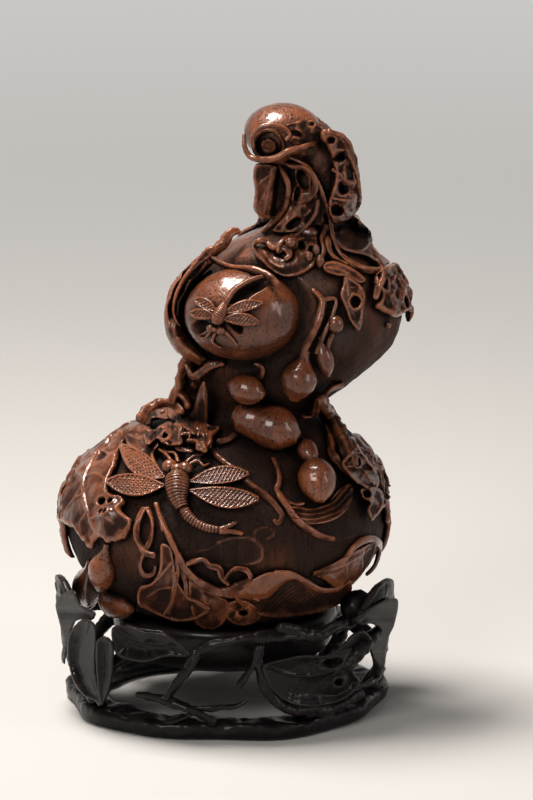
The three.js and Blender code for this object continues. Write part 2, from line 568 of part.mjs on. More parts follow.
const carving = [["gourd_body", gourdBody], ["stem_end", stemEnd], ...fruits, ...upperMotifs, ...lowerMotifs];

// The stand's foot: a flat-bottomed ring with a wavy, root-like outline
function footRing(grow) {
  const wave = (a) => 1.4 * Math.sin(5 * a + 0.6) + 0.9 * Math.sin(9 * a);
  const outline = (way, reach, wander) =>
    range(32).map((i) => {
      const a = (way * 2 * Math.PI * i) / 32;
      const r = FOOT_RADIUS + reach + wander * wave(a);
      return new THREE.Vector2(r * Math.cos(a), r * Math.sin(a));
    });
  const ring = new THREE.Shape(outline(1, FOOT_WIDTH / 2 + grow, 1));
  ring.holes.push(new THREE.Path(outline(-1, -FOOT_WIDTH / 2 - grow, 0.5)));
  const bevel = 1.6;
  const extruded = new THREE.ExtrudeGeometry(ring, {
    depth: FOOT_HEIGHT - bevel + 2 * grow,
    bevelThickness: bevel / 2,
    bevelSize: bevel,
    bevelOffset: -bevel,
    bevelSegments: 1,
  });
  return solid(extruded.translate(0, 0, bevel / 2 - grow));
}

// The seat: a thick dish, hollowed on top to the gourd's own curve
function seatDish(grow) {
  const [rim, low, top] = [SEAT_RADIUS + grow, SEAT_BOTTOM - grow, SEAT_TOP + grow];
  const outline = [[0, low], [rim - 9, low], [rim - 2, low + 5], [rim, top - 3], [rim - 1.5, top], [0, top]];
  const dish = new THREE.LatheGeometry(outline.map(([x, y]) => new THREE.Vector2(x, y)), 24);
  return solid(dish.rotateX(Math.PI / 2)).subtract(gourdBody(grow ? 0 : GAP));
}

// A branch that rises from the foot ring, bows out past the seat and bends in to it
const branch = (from, to) => (grow) => {
  const route = [
    [0, FOOT_RADIUS + 1, FOOT_HEIGHT - 3],
    [0.25, FOOT_RADIUS + 5, FOOT_HEIGHT + 8],
    [0.5, FOOT_RADIUS + 2, SEAT_BOTTOM + 3],
    [0.8, SEAT_RADIUS + 4, SEAT_BOTTOM + 8],
    [1, SEAT_RADIUS - 3, SEAT_BOTTOM + 5],
  ];
  const points = route.map(([t, radius, z]) => round(lerp(from, to, t), radius, z));
  return bar(points, [1.5, 1, 1, 1.2].map((share) => share * BRANCH), grow, { sides: 6, steps: 9 });
};

const BRANCHES = [[-62, -40], [86, 104], [136, 118], [172, 192], [-118, -136]];
const front = onStand();
const frontLeft = onStand(-20);
const left = onStand(-42);
const standLeaf = (place, rib, before, after, more) =>
  leafOn(place, rib, before, after, { edge: -1, thickness: STAND_LEAF_THICKNESS, ...more });

const stand = [
  ["foot_ring", footRing],
  ["seat_dish", seatDish],
  ["stand_bud", (grow) => {
    const [stem, flower] = [round(60, FOOT_RADIUS, SEAT_TOP), round(66, FOOT_RADIUS + 4, SEAT_TOP + 10)];
    return fruitBetween(stem, flower, 5.4, ROUND_FRUIT, grow);
  }],
  ...BRANCHES.map(([from, to], i) => [`stand_branch_${i + 1}`, branch(from, to)]),
  ["stand_leaf_ringed", (grow) => join([
    standLeaf(front, [[12.5, 14], [24, 9], [37.4, 12.5], [47, 19.5], [54, 26]],
      [1, 7, 9, 6, 3, 1], [1, 6, 8, 5, 3, 1])(grow),
    vine(front, [[13, 20, 0.5], [11.3, 14, 1], [13.5, 8, 2], [18, 1.5, 2.4], [27.8, -2.8, 2.8],
      [36, -2.4, 2.8], [42.6, 0.7, 2.4], [50, 5, 1]], [2, 2.8, 3, 2.4], grow),
  ])],
  ["stand_rail", vines(
    [front, [[-14, 13, 0.5], [-8.7, 19, 1], [-3.5, 21.6, 1], [8, 23.4, 1.4], [19, 24.4, 1.4],
      [31, 24, 1.4], [43.5, 29, 0.6]], [1.6, 2, 2.2, 2.2, 1.6]],
    [front, [[31, 24, 1], [24, 26, -8], [18, 27, -16]], 2.2],
  )],
  ["stand_twig", vines(
    [front, [[-31.4, 3.6, 1], [-20.7, 1.4, 1.6], [-10.4, -2.5, 1.8], [-3, -7, 1.4]], [1.5, 2.1, 1.6]],
    [front, [[-20.7, 1.4, 1.6], [-16.5, 8, 1.4], [-12.5, 13, 0.8], [-10, 17, -6], [-10, 20, -13]],
      [1.9, 1.9, 2.2]],
  )],
  ["stand_leaf_left", standLeaf(left, asSeen(left, front, [[-44, 29], [-46.5, 20], [-46, 10], [-43.7, 1.8]]),
    [1, 6, 9, 9, 7, 1], [1, 5, 8, 9, 6, 1])],
  ["stand_leaf_left_rear", standLeaf(onStand(-78), [[13, 27], [2, 28], [-9, 22], [-14, 9], [-22, -7]],
    [1, 5, 8, 8, 6, 2.5, 1.6], [1, 5, 8, 8, 5, 2.5, 1.6])],
  ["stand_leaf_front", standLeaf(frontLeft,
    asSeen(frontLeft, front, [[-38, 21], [-30, 22], [-21, 21], [-12.9, 15.5]]),
    [1, 4, 5.4, 5.4, 4, 1], [1, 5, 6, 6, 3.4, 1], { lift: 2 })],
  ["stand_leaf_right", standLeaf(onStand(70), [[-16, 26], [-6, 29], [6, 24], [10, 12], [6, -2]],
    [1, 5, 8, 8, 6, 1], [1, 4, 7, 8, 6, 1], { lift: 2 })],
  ["stand_leaf_rear", standLeaf(onStand(180), [[-26, 22], [-8, 27], [12, 23], [24, 10], [28, -7]],
    [1, 6, 10, 10, 7, 2.5, 1.6], [1, 6, 10, 10, 7, 2.5, 1.6])],
  ["stand_leaf_rear_left", standLeaf(onStand(-135), [[-22, -7], [-16, 6], [-6, 14], [6, 17], [18, 13]],
    [1.6, 2.5, 6, 8, 8, 5, 1], [1.6, 2.5, 6, 8, 8, 5, 1])],
];

function meshOf(name, shape, material) {
  const { numVert, numProp, vertProperties, triVerts } = shape.getMesh();
  const corners = range(numVert).flatMap((i) => [...vertProperties.slice(i * numProp, i * numProp + 3)]);
  const geometry = new THREE.BufferGeometry();
  geometry.setAttribute("position", new THREE.Float32BufferAttribute(corners, 3));
  geometry.setIndex([...triVerts]);
  geometry.computeVertexNormals();
  const mesh = new THREE.Mesh(geometry, material);
  mesh.name = name;
  return mesh;
}

const boxesMeet = (a, b) => range(3).every((i) => a.min[i] < b.max[i] && b.min[i] < a.max[i]);

// Makes the pieces in order, each cut back from the ones before it, and gives the grown shapes back
function assemble(group, list, material, before = []) {
  const grown = [...before];
  for (const [name, shape] of list) {
    const own = shape(0);
    const met = grown.filter(({ box }) => boxesMeet(box, own.boundingBox()));
    const cut = met.reduce((rest, other) => rest.subtract(other.shape), own).simplify(FINENESS);
    const [largest] = cut.decompose().sort((a, b) => b.volume() - a.volume());
    const wide = shape(GAP);
    grown.push({ shape: wide, box: wide.boundingBox() });
    group.add(meshOf(name, largest, material));
  }
  return grown;
}

const root = new THREE.Group();
const carved = assemble(root, carving, BAMBOO);
assemble(root, stand, DARK_WOOD, carved);

// The origin lies under the middle of the whole object
const middle = new THREE.Box3().setFromObject(root).getCenter(V(0, 0, 0));
root.position.set(-middle.x, -middle.y, 0);

export default root;
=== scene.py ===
import math

import bmesh
import bpy
import numpy as np
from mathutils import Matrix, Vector


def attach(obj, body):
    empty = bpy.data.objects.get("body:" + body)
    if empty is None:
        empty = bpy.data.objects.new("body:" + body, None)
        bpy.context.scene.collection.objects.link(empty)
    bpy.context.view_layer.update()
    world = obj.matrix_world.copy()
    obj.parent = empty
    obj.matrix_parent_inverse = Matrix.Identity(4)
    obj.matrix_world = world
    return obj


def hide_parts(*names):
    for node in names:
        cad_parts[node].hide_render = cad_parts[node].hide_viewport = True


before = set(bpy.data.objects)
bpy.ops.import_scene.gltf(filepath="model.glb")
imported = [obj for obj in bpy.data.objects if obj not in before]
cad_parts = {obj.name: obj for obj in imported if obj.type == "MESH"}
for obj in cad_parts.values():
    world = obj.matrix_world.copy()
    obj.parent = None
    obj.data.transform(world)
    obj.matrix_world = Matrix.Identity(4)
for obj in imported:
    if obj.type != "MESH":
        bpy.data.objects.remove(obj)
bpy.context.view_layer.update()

# A double gourd carved from one bamboo root, standing in an openwork hardwood stand. Sizes are in
# millimetres until a mesh is made. The front is laid out as seen from 14 degrees above the horizon.
SHIFT = np.array([-1.3706, -0.5375, 0.0])
TILT = math.radians(14)
REACH = 130.0

GOURD_BOTTOM = 29.0
LOWER_RADIUS = 56.5
LOWER_HALF = 39.5
UPPER_RADIUS = 38.0
UPPER_DEPTH = 0.87
UPPER_HALF = 32.0
LOWER_CENTRE = GOURD_BOTTOM + LOWER_HALF
LOWER = np.array([0.0, 0.0, 62.0])
UPPER = np.array([25.0, 0.0, 142.0])
NECK = np.array([33.5, 0.0, 196.0])
FLOOR = np.array([0.0, 0.0, 0.0])
BLEND = 14.0
WAIST_RADIUS = 22.0
NECK_RADIUS = 9.5
STAND_RADIUS = 53.0
STAND_FLARE = 0.12
SIGHT_STEP = 3.0


def smooth(x, a, b):
    t = np.clip((x - a) / (b - a), 0, 1)
    return t * t * (3 - 2 * t)


def soft_max(a, b):
    near = np.clip(BLEND - np.abs(a - b), 0, None) / BLEND
    return np.maximum(a, b) + near * near * BLEND / 4


def axis_x(z):
    lean = smooth(z, LOWER[2] + 12, UPPER[2] + 2) * UPPER[0]
    return lean + smooth(z, UPPER[2] + 26, NECK[2] - 6) * (NECK[0] - UPPER[0])


def lobe(z, centre, half, radius):
    return radius * np.sqrt(np.clip(1 - ((z - centre) / half) ** 2, 0, None))


def gourd_radius(z):
    low = lobe(z, LOWER_CENTRE, LOWER_HALF, LOWER_RADIUS)
    top = lobe(z, UPPER[2], UPPER_HALF, UPPER_RADIUS)
    column = WAIST_RADIUS + (NECK_RADIUS - WAIST_RADIUS) * smooth(z, LOWER[2] + 50, NECK[2] - 8)
    return np.where(z < LOWER_CENTRE, low, soft_max(soft_max(top, column), low))


def gourd_depth(z):
    share = smooth(z, UPPER[2] - 30, UPPER[2]) - smooth(z, UPPER[2] + 10, UPPER[2] + 30)
    return 1 + (UPPER_DEPTH - 1) * share


def gourd_skin(p):
    def outside(z):
        return np.hypot(p[:, 0] - axis_x(z), p[:, 1] / gourd_depth(z)) - gourd_radius(z)

    z = p[:, 2]
    slope = (outside(z + 0.05) - outside(z - 0.05)) / 0.1
    return outside(z) / np.hypot(1, np.minimum(np.abs(slope), 6))


def stand_skin(p):
    out = np.hypot(p[:, 0], p[:, 1]) - STAND_RADIUS - STAND_FLARE * p[:, 2]
    return out / math.hypot(1, STAND_FLARE)


def oval_skin(centre, radii):
    def outside(p):
        unit = (p - centre) / radii
        length = np.linalg.norm(unit, axis=1)
        return length * (length - 1) / np.maximum(np.linalg.norm(unit / radii, axis=1), 1e-6)

    return outside


YOUNG_CENTRE = np.array([6.6, -27.0, 148.8])
YOUNG_RADII = np.array([20.8, 16.2, 16.3])
HOOD_CENTRE = NECK + [-12.9, -3, 13.2]
HOOD_RADII = np.array([13.8, 12.6, 10.2])


def meeting(skin, start, away, lift):
    """Where sight lines first come lift mm from a skin, or their nearest points if they pass by."""
    n = len(start)
    lift = np.broadcast_to(np.asarray(lift, float), (n,))
    best, best_s, hit = np.full(n, np.inf), np.zeros(n), np.full(n, np.nan)
    for s in np.arange(-REACH, REACH, SIGHT_STEP):
        d = skin(start + away * s) - lift
        closer = d < best
        best[closer], best_s[closer] = d[closer], s
        hit[np.isnan(hit) & (d <= 0)] = s
    passing = np.isnan(hit)
    near = np.where(passing, best_s - SIGHT_STEP, hit - SIGHT_STEP)
    far = np.where(passing, best_s + SIGHT_STEP, hit)
    for _ in range(14):
        a, b = near + (far - near) / 3, far - (far - near) / 3
        middle = (near + far) / 2
        inside = skin(start + away * middle[:, None]) - lift <= 0
        wider = skin(start + away * a[:, None]) < skin(start + away * b[:, None])
        far = np.where(passing, np.where(wider, b, far), np.where(inside, middle, far))
        near = np.where(passing, np.where(wider, near, a), np.where(inside, near, middle))
    return start + away * ((near + far) / 2)[:, None]


class View:
    """Places on a skin as one side sees it: u mm to the right of a datum, w mm above it."""

    def __init__(self, skin, datum, turn=0.0, tilt=TILT, plane=None):
        a = math.radians(turn)
        level = np.array([-math.sin(a), math.cos(a), 0])
        self.skin, self.datum, self.plane = skin, np.asarray(datum, float), plane
        self.right = np.array([math.cos(a), math.sin(a), 0])
        self.up = level * math.sin(tilt) + [0, 0, math.cos(tilt)]
        self.away = level * math.cos(tilt) - [0, 0, math.sin(tilt)]

    def at(self, uw, lift):
        uw = np.atleast_2d(np.asarray(uw, float))
        start = self.datum + uw[:, :1] * self.right + uw[:, 1:2] * self.up
        if self.plane is None:
            return meeting(self.skin, start, self.away, lift)
        return start + self.away * ((-self.plane - lift - start[:, 1]) / self.away[1])[:, None]

    def read(self, p):
        return np.stack([(p - self.datum) @ self.right, (p - self.datum) @ self.up], axis=1)


def plane_view(datum, depth):
    return View(None, datum, plane=depth)


LOW = View(gourd_skin, LOWER)
HIGH = View(gourd_skin, UPPER)
FRONT = View(stand_skin, FLOOR)


def carried(view, source, uw):
    """Places given as one view sees them, as another sees them."""
    return view.read(source.at(uw, 0.0))


TABLE_SIZE = 32
TABLE = np.random.default_rng(11).random((TABLE_SIZE,) * 3) * 2 - 1


def noise(p, size, octaves=2, shift=0.0):
    """Smooth random values at points: lumps of a size in mm, with finer ones on them."""
    p = np.asarray(p, float) / size + shift
    total, gain = np.zeros(len(p)), 1.0
    for _ in range(octaves):
        cell = np.floor(p).astype(int)
        f = p - cell
        f = f * f * (3 - 2 * f)
        value = 0
        for corner in range(8):
            o = np.array([corner & 1, corner >> 1 & 1, corner >> 2 & 1])
            i = (cell + o) % TABLE_SIZE
            weight = np.prod(np.where(o == 1, f, 1 - f), axis=1)
            value = value + weight * TABLE[i[:, 0], i[:, 1], i[:, 2]]
        total += gain * value
        p, gain = p * 2.03 + 5.1, gain * 0.5
    return total


def spline(points, count, closed=False):
    """A centripetal curve through points, as evenly spaced samples."""
    p = np.asarray(points, float)
    if closed:
        p = np.vstack([p[-2:], p, p[:3]])
    else:
        p = np.vstack([2 * p[0] - p[1], p, 2 * p[-1] - p[-2]])
    rows, per_span = [], 12
    for i in range(1, len(p) - 2):
        k = np.sqrt(np.maximum(np.linalg.norm(np.diff(p[i - 1 : i + 3], axis=0), axis=1), 1e-6))
        t0, t1, t2, t3 = 0, k[0], k[0] + k[1], k.sum()
        t = np.linspace(t1, t2, per_span, endpoint=False)[:, None]
        a1 = (t1 - t) / (t1 - t0) * p[i - 1] + (t - t0) / (t1 - t0) * p[i]
        a2 = (t2 - t) / (t2 - t1) * p[i] + (t - t1) / (t2 - t1) * p[i + 1]
        a3 = (t3 - t) / (t3 - t2) * p[i + 1] + (t - t2) / (t3 - t2) * p[i + 2]
        b1 = (t2 - t) / (t2 - t0) * a1 + (t - t0) / (t2 - t0) * a2
        b2 = (t3 - t) / (t3 - t1) * a2 + (t - t1) / (t3 - t1) * a3
        rows.append((t2 - t) / (t2 - t1) * b1 + (t - t1) / (t2 - t1) * b2)
    q = np.vstack(rows + [p[-2:-1]])
    if closed:
        q = q[per_span:-per_span] if len(q) > 3 * per_span else q
        q = np.vstack([q, q[:1]])
    gone = np.concatenate([[0], np.cumsum(np.linalg.norm(np.diff(q, axis=0), axis=1))])
    at = np.linspace(0, gone[-1], count, endpoint=not closed)
    return np.stack([np.interp(at, gone, q[:, i]) for i in range(q.shape[1])], axis=1)


def along(values, t):
    """A smooth run through values, read at shares t of its length."""
    values = np.atleast_1d(np.asarray(values, float))
    if len(values) == 1:
        return np.full(np.shape(t), values[0])
    x = np.linspace(0, 1, len(values))
    i = np.clip(np.searchsorted(x, t, side="right") - 1, 0, len(values) - 2)
    f = np.clip((t - x[i]) / (x[1] - x[0]), 0, 1)
    prior, after = values[np.maximum(i - 1, 0)], values[np.minimum(i + 2, len(values) - 1)]
    a, b = values[i], values[i + 1]
    m0, m1 = (b - prior) / 2, (after - a) / 2
    f2, f3 = f * f, f * f * f
    return (2 * f3 - 3 * f2 + 1) * a + (f3 - 2 * f2 + f) * m0 + (3 * f2 - 2 * f3) * b + (f3 - f2) * m1


def segment_distance(p, line):
    """Distance of 2-D points from a polyline, and how far along it the nearest place is."""
    best, where = np.full(len(p), np.inf), np.zeros(len(p))
    line = np.asarray(line, float)
    for i in range(len(line) - 1):
        a, ab = line[i], line[i + 1] - line[i]
        t = np.clip(((p - a) @ ab) / max(ab @ ab, 1e-9), 0, 1)
        d = np.linalg.norm(p - a - t[:, None] * ab, axis=1)
        closer = d < best
        best[closer], where[closer] = d[closer], (i + t[closer]) / (len(line) - 1)
    return best, where


def inside_distance(p, loop):
    """Distance inside a closed outline, negative outside it."""
    ring = np.vstack([loop, loop[:1]])
    d, _ = segment_distance(p, ring)
    inside = np.zeros(len(p), bool)
    for (x0, y0), (x1, y1) in zip(ring[:-1], ring[1:]):
        crossing = (y0 > p[:, 1]) != (y1 > p[:, 1])
        x = x0 + (p[:, 1] - y0) * (x1 - x0) / (y1 - y0 if y1 != y0 else 1)
        inside ^= crossing & (p[:, 0] < x)
    return np.where(inside, d, -d)


# Every builder below gives points, faces and how raised, and so how polished by wear and how bright, each
# point is; in some hollows, under plates and on the young gourd this value also carries painted shade and
# light.
def sheet_faces(rows, columns):
    i, j = np.meshgrid(np.arange(rows - 1), np.arange(columns), indexing="ij")
    k = (j + 1) % columns
    quads = np.stack([i * columns + j, i * columns + k, (i + 1) * columns + k, (i + 1) * columns + j], -1)
    return quads.reshape(-1, 4)


def capped(points, rows, columns):
    """Closes a tube's ends with a point each."""
    faces = sheet_faces(rows, columns)
    ends = np.vstack([points[:columns].mean(0), points[-columns:].mean(0)])
    j = np.arange(columns)
    k = (j + 1) % columns
    base, top = rows * columns, (rows - 1) * columns
    first = np.stack([np.full(columns, base), k, j, j], -1)
    last = np.stack([np.full(columns, base + 1), top + j, top + k, top + k], -1)
    return np.vstack([points, ends]), np.vstack([faces, first, last])


def tube(points, radii, sides=18, step=0.5, ridges=0, depth=0.0, rough=0.05, domed=True, rings=None,
         twist=0.0, flat=1.0, tone=0.8, seed=0.0, knots=0.0):
    """A closed tube along a curve, with ridges along it or rings round it, lumps and swellings."""
    p = np.asarray(points, float)
    length = np.linalg.norm(np.diff(p, axis=0), axis=1).sum()
    count = int(np.clip(length / step, 8, 400))
    path = spline(p, count + 1)
    tangent = np.gradient(path, axis=0)
    tangent /= np.linalg.norm(tangent, axis=1)[:, None]
    normal = np.zeros_like(path)
    side = np.cross(tangent[0], [0.3, -0.2, 1.0])
    for i in range(count + 1):
        side = side - tangent[i] * (side @ tangent[i])
        side /= np.linalg.norm(side)
        normal[i] = side
    other = np.cross(tangent, normal)
    t = np.linspace(0, 1, count + 1)
    r = np.maximum(along(radii, t), 0.08)
    if knots:
        r = r * (1 + knots * noise(path, 3.2, 2, seed + 17))
    if domed:
        end = np.minimum(t, 1 - t) * length / np.maximum(r, 0.1)
        r = r * np.sqrt(1 - (1 - np.clip(end, 0, 1)) ** 2 * 0.96)
    a = np.linspace(0, 2 * math.pi, sides, endpoint=False)
    radius = r[:, None] * np.ones(sides)
    high = np.ones_like(radius)
    if ridges:
        wave = np.cos(ridges * a[None, :] + twist * t[:, None] * length)
        radius = radius * (1 + depth * wave)
        high = high - 0.25 * (1 - wave) / 2
    if rings:
        spacing, deep = rings
        wave = np.abs(np.sin(math.pi * t * length / spacing + 0.35 * np.sin(a)[None, :].T).T)
        radius = radius * (1 - deep * (1 - wave) ** 2)
        high = high - 0.6 * (1 - wave) ** 2
    spoke = normal[:, None] * np.cos(a)[None, :, None] * flat + other[:, None] * np.sin(a)[None, :, None]
    q = path[:, None] + spoke * radius[..., None]
    flatq = q.reshape(-1, 3)
    lump = noise(flatq, 2.6, 3, seed) * rough * np.repeat(r, sides) * 2
    flatq = flatq + spoke.reshape(-1, 3) * lump[:, None]
    points, faces = capped(flatq, count + 1, sides)
    raised = np.clip(tone * high.reshape(-1) + 0.25 * noise(flatq, 3.0, 2, seed + 3), 0, 1)
    return points, faces, np.append(raised, [tone, tone])


def merged(parts):
    """Several closed skins as one."""
    start = np.cumsum([0] + [len(points) for points, _, _ in parts])
    return (np.vstack([points for points, _, _ in parts]),
            np.vstack([faces + n for (_, faces, _), n in zip(parts, start)]),
            np.concatenate([raised for _, _, raised in parts]))


def spur(view, path, i, way, radius, size, seed):
    """A short broken side shoot of a vine."""
    along_it = path[i + 1] - path[i - 1]
    along_it /= np.linalg.norm(along_it)
    out = -view.away
    aside = np.cross(along_it, out) * way
    aside /= np.linalg.norm(aside)
    end = path[i] + (aside + 0.7 * along_it) * size + out * 0.2 * size
    bend = (path[i] + end) / 2 + along_it * 0.2 * size
    radii = [radius * 0.85, radius * 0.6, radius * 0.3]
    return tube([path[i], bend, end], radii, sides=10, step=0.3, rough=0.12, seed=seed, tone=0.9)


def vine(view, route, radii, spurs=0.0, **more):
    """A tube over places of a view: u, w and how far the middle of the tube is from the skin."""
    route = np.asarray(route, float)
    widths = np.atleast_1d(radii)
    t = np.linspace(0, 1, len(route))
    lift = route[:, 2]
    if view.plane is None:
        lift = np.maximum(lift, along(widths, t) * 0.55)
    points = view.at(route[:, :2], lift)
    seed = more.pop("seed", 0.0) + abs(route[0, 0]) % 7
    parts = [tube(points, widths, seed=seed, **more)]
    path = spline(points, 60)
    length = np.linalg.norm(np.diff(path, axis=0), axis=1).sum()
    chance = np.random.default_rng(int(1000 * seed) + len(route))
    for k in range(int(length * spurs)):
        i = int(chance.integers(6, 54))
        radius = float(along(widths, np.array([i / 59]))[0])
        way = chance.choice([-1, 1])
        parts.append(spur(view, path, i, way, radius, radius * chance.uniform(1.6, 2.8), k))
    return merged(parts)


ROUND = [0.2, 0.62, 0.88, 1, 0.99, 0.9, 0.68, 0.3]
PEAR = [0.2, 0.26, 0.5, 0.82, 1, 1, 0.88, 0.62, 0.26]
WAISTED = [0.36, 0.7, 0.82, 0.84, 0.93, 1, 1, 0.9, 0.66, 0.28]


def fruit_between(stem, flower, radius, outline, seed=0.0):
    shares = np.asarray(outline) * radius
    over = (flower - stem) * 0.03
    more = dict(sides=48, step=0.35, domed=False, rough=0.012, tone=1.0, seed=seed)
    return tube([stem, (stem + flower) / 2, flower + over], shares, **more)


def fruit(view, stem, flower, radius, outline, seed=0.0):
    ends = view.at([stem[:2], flower[:2]], np.array([stem[2], flower[2]]))
    return fruit_between(ends[0], ends[1], radius, outline, seed)


def ball(centre, radii, sides=40, levels=28, tone=1.0, rough=0.0, seed=0.0):
    a = np.linspace(0, 2 * math.pi, sides, endpoint=False)
    b = np.linspace(0.02, math.pi - 0.02, levels)
    unit = np.stack([np.sin(b)[:, None] * np.cos(a), np.sin(b)[:, None] * np.sin(a),
                     np.cos(b)[:, None] * np.ones(sides)], -1).reshape(-1, 3)
    p = unit * radii
    if rough:
        p = p * (1 + rough * noise(p + centre, 4.0, 3, seed))[:, None]
    points, faces = capped(p + centre, levels, sides)
    return points, faces[:, ::-1], np.full(len(points), tone)


# The most that a sheet falls away for each mm across the line of sight.
STEEPEST = 2.2


def drawn_in(view, points, quads):
    """A sheet's points moved towards the viewer where it would fall away steeply behind an edge."""
    depth = points @ view.away
    flat = points - np.outer(depth, view.away)
    a, b = quads[:, [0, 1, 2, 3]].ravel(), quads[:, [1, 2, 3, 0]].ravel()
    fall = STEEPEST * np.linalg.norm(flat[a] - flat[b], axis=1)
    for _ in range(80):
        prior = depth.copy()
        np.minimum.at(depth, a, depth[b] + fall)
        np.minimum.at(depth, b, depth[a] + fall)
        if np.abs(prior - depth).max() < 0.01:
            break
    return flat + np.outer(depth, view.away)


def plate(view, outline, lift=1.6, thick=1.6, edge=1.0, cell=0.5, holes=(), veins=(), rim=(0, 1, 0),
          bump=0.25, lumps=3.5, ragged=0.0, form=None, tone=0.52, seed=0.0, smoothed=True):
    """A carved leaf: an outline in a view, pierced, veined, with a rounded or rolled edge."""
    loop = spline(outline, 12 * len(outline), closed=True) if smoothed else np.asarray(outline, float)
    if ragged:
        wave = noise(np.column_stack([loop, np.zeros(len(loop))]), 2.2, 2, seed + 9)
        out = np.roll(loop, -1, 0) - np.roll(loop, 1, 0)
        out = np.stack([out[:, 1], -out[:, 0]], 1) / np.maximum(np.linalg.norm(out, axis=1), 1e-6)[:, None]
        loop = loop + out * (wave * ragged)[:, None]
    low, high = loop.min(0) - 2 * cell, loop.max(0) + 2 * cell
    n = np.ceil((high - low) / cell).astype(int) + 1
    u, w = np.meshgrid(low[0] + np.arange(n[0]) * cell, low[1] + np.arange(n[1]) * cell, indexing="ij")
    p = np.stack([u.ravel(), w.ravel()], 1)
    d = inside_distance(p, loop)
    for hole in holes:
        d = np.minimum(d, hole_distance(p, hole, seed))
    gu, gw = np.gradient(d.reshape(n), cell)
    g = np.stack([gu.ravel(), gw.ravel()], 1)
    g /= np.maximum((g * g).sum(1), 0.2)[:, None]
    near = np.abs(d) < 0.62 * cell
    p[near] -= g[near] * d[near, None]
    d[near] = 0
    depth = d.reshape(n)
    middle = (depth[:-1, :-1] + depth[1:, :-1] + depth[:-1, 1:] + depth[1:, 1:]) / 4
    alive = middle > 0
    cells = np.argwhere(alive)
    index = cells[:, 0] * n[1] + cells[:, 1]
    quads = np.stack([index, index + n[1], index + n[1] + 1, index + 1], 1)
    used, quads = np.unique(quads, return_inverse=True)
    quads = quads.reshape(-1, 4)
    around = np.zeros((n[0] + 1, n[1] + 1), int)
    around[1:-1, 1:-1] = alive
    count = around[:-1, :-1] + around[1:, :-1] + around[:-1, 1:] + around[1:, 1:]
    border = (count.ravel()[used] < 4)
    p, d = p[used], np.maximum(d[used], 0)
    d[border] = 0
    profile = np.sqrt(1 - (1 - np.clip(d / edge, 0, 1)) ** 2)
    flat = np.column_stack([p, np.zeros(len(p))])
    offset, width, rise = rim
    relief = rise * np.exp(-(((d - offset) / width) ** 2))
    grooves = np.zeros(len(p))
    for line, wide, tall in veins:
        gap, where = segment_distance(p, spline(line, 10 * len(line)))
        ridge = tall * np.exp(-((gap / wide) ** 2)) * np.clip(1.15 - 0.6 * where, 0, 1)
        if tall > 0:
            relief = np.maximum(relief, ridge)
        else:
            grooves = np.minimum(grooves, ridge)
    relief = relief + grooves + bump * noise(flat, lumps, 3, seed)
    base = lift(p, d) if callable(lift) else np.full(len(p), float(lift))
    if form is not None:
        base = base + form(p, d)
    top = drawn_in(view, view.at(p, base + profile * (thick / 2 + relief)), quads)
    keep = ~border
    bottom = drawn_in(view, view.at(p, base - profile * thick / 2), quads)
    sunk = np.clip((bottom - top) @ view.away - 2.5 * thick, 0, None)
    bottom = (bottom - view.away * sunk[:, None])[keep]
    under = np.arange(len(p))
    under[keep] = len(p) + np.arange(keep.sum())
    faces = np.vstack([quads, under[quads][:, ::-1]])
    raised = np.clip(tone + 0.65 * relief + 0.2 * noise(flat, 5, 2, seed + 1), 0, 1)
    # The undersides get a low tone of 0.1: painted shade under the plate.
    return np.vstack([top, bottom]), faces, np.concatenate([raised, np.full(keep.sum(), 0.1)])


def hole_distance(p, hole, seed):
    """Distance outside a bored hole: its place, its half-width and half-height, and its turn."""
    u, w, a, b = hole[:4]
    turn = math.radians(hole[4]) if len(hole) > 4 else 0
    q = p - [u, w]
    x = q[:, 0] * math.cos(turn) + q[:, 1] * math.sin(turn)
    y = -q[:, 0] * math.sin(turn) + q[:, 1] * math.cos(turn)
    wobble = 0.15 * noise(np.column_stack([p, np.full(len(p), 3.0)]), 1.6, 2, seed + 2)
    r = np.hypot(x / a, y / b) + wobble
    return (r - 1) * min(a, b)


def leaf_outline(rib, left, right, lobes=0.0, teeth=0, rows=40):
    """An outline from a midrib and half-widths to each side."""
    path = spline(rib, rows)
    t = np.linspace(0, 1, rows)
    side = np.gradient(path, axis=0)
    side = np.stack([side[:, 1], -side[:, 0]], 1) / np.linalg.norm(side, axis=1)[:, None]
    scallop = 1 + lobes * np.sin(teeth * math.pi * t) * np.sin(math.pi * t)
    a = path - side * (along(left, t) * scallop)[:, None]
    b = path + side * (along(right, t) * scallop)[:, None]
    return np.vstack([a, b[::-1]]), path


def leaf_veins(path, left, right, pairs, wide, tall):
    """A midrib and pairs of side veins for a leaf."""
    lines, slant = [(path[::4], wide * 1.5, tall * 1.2)], 0.55
    n = len(path)
    side = np.gradient(path, axis=0)
    side = np.stack([side[:, 1], -side[:, 0]], 1) / np.linalg.norm(side, axis=1)[:, None]
    step = np.linalg.norm(np.diff(path, axis=0), axis=1).mean()
    for k in range(1, pairs + 1):
        i = int(n * (k - 0.3) / (pairs + 1))
        for sign, widths in ((-1, left), (1, right)):
            reach = float(along(widths, np.array([min(i / n + 0.1, 1)]))[0]) * 0.85
            j = min(i + int(reach * slant / step), n - 1)
            end = path[j] + side[j] * sign * reach
            bend = (path[i] + end) / 2 + side[i] * sign * reach * 0.12
            lines.append(([path[i], bend, end], wide, tall))
    return lines


def leaf(view, rib, left, right, pairs=4, lobes=0.0, teeth=0, vein=(0.5, 0.45), **more):
    """A plate with a midrib, half-widths to each side of it and pairs of veins."""
    outline, path = leaf_outline(rib, left, right, lobes, teeth)
    veins = leaf_veins(path, left, right, pairs, *vein)
    extra = more.pop("veins", [])
    return plate(view, outline, veins=veins + extra, smoothed=False, **more)


def nodes_of(name):
    material = bpy.data.materials.new(name)
    material.use_nodes = True
    tree = material.node_tree
    tree.nodes.clear()
    return material, tree


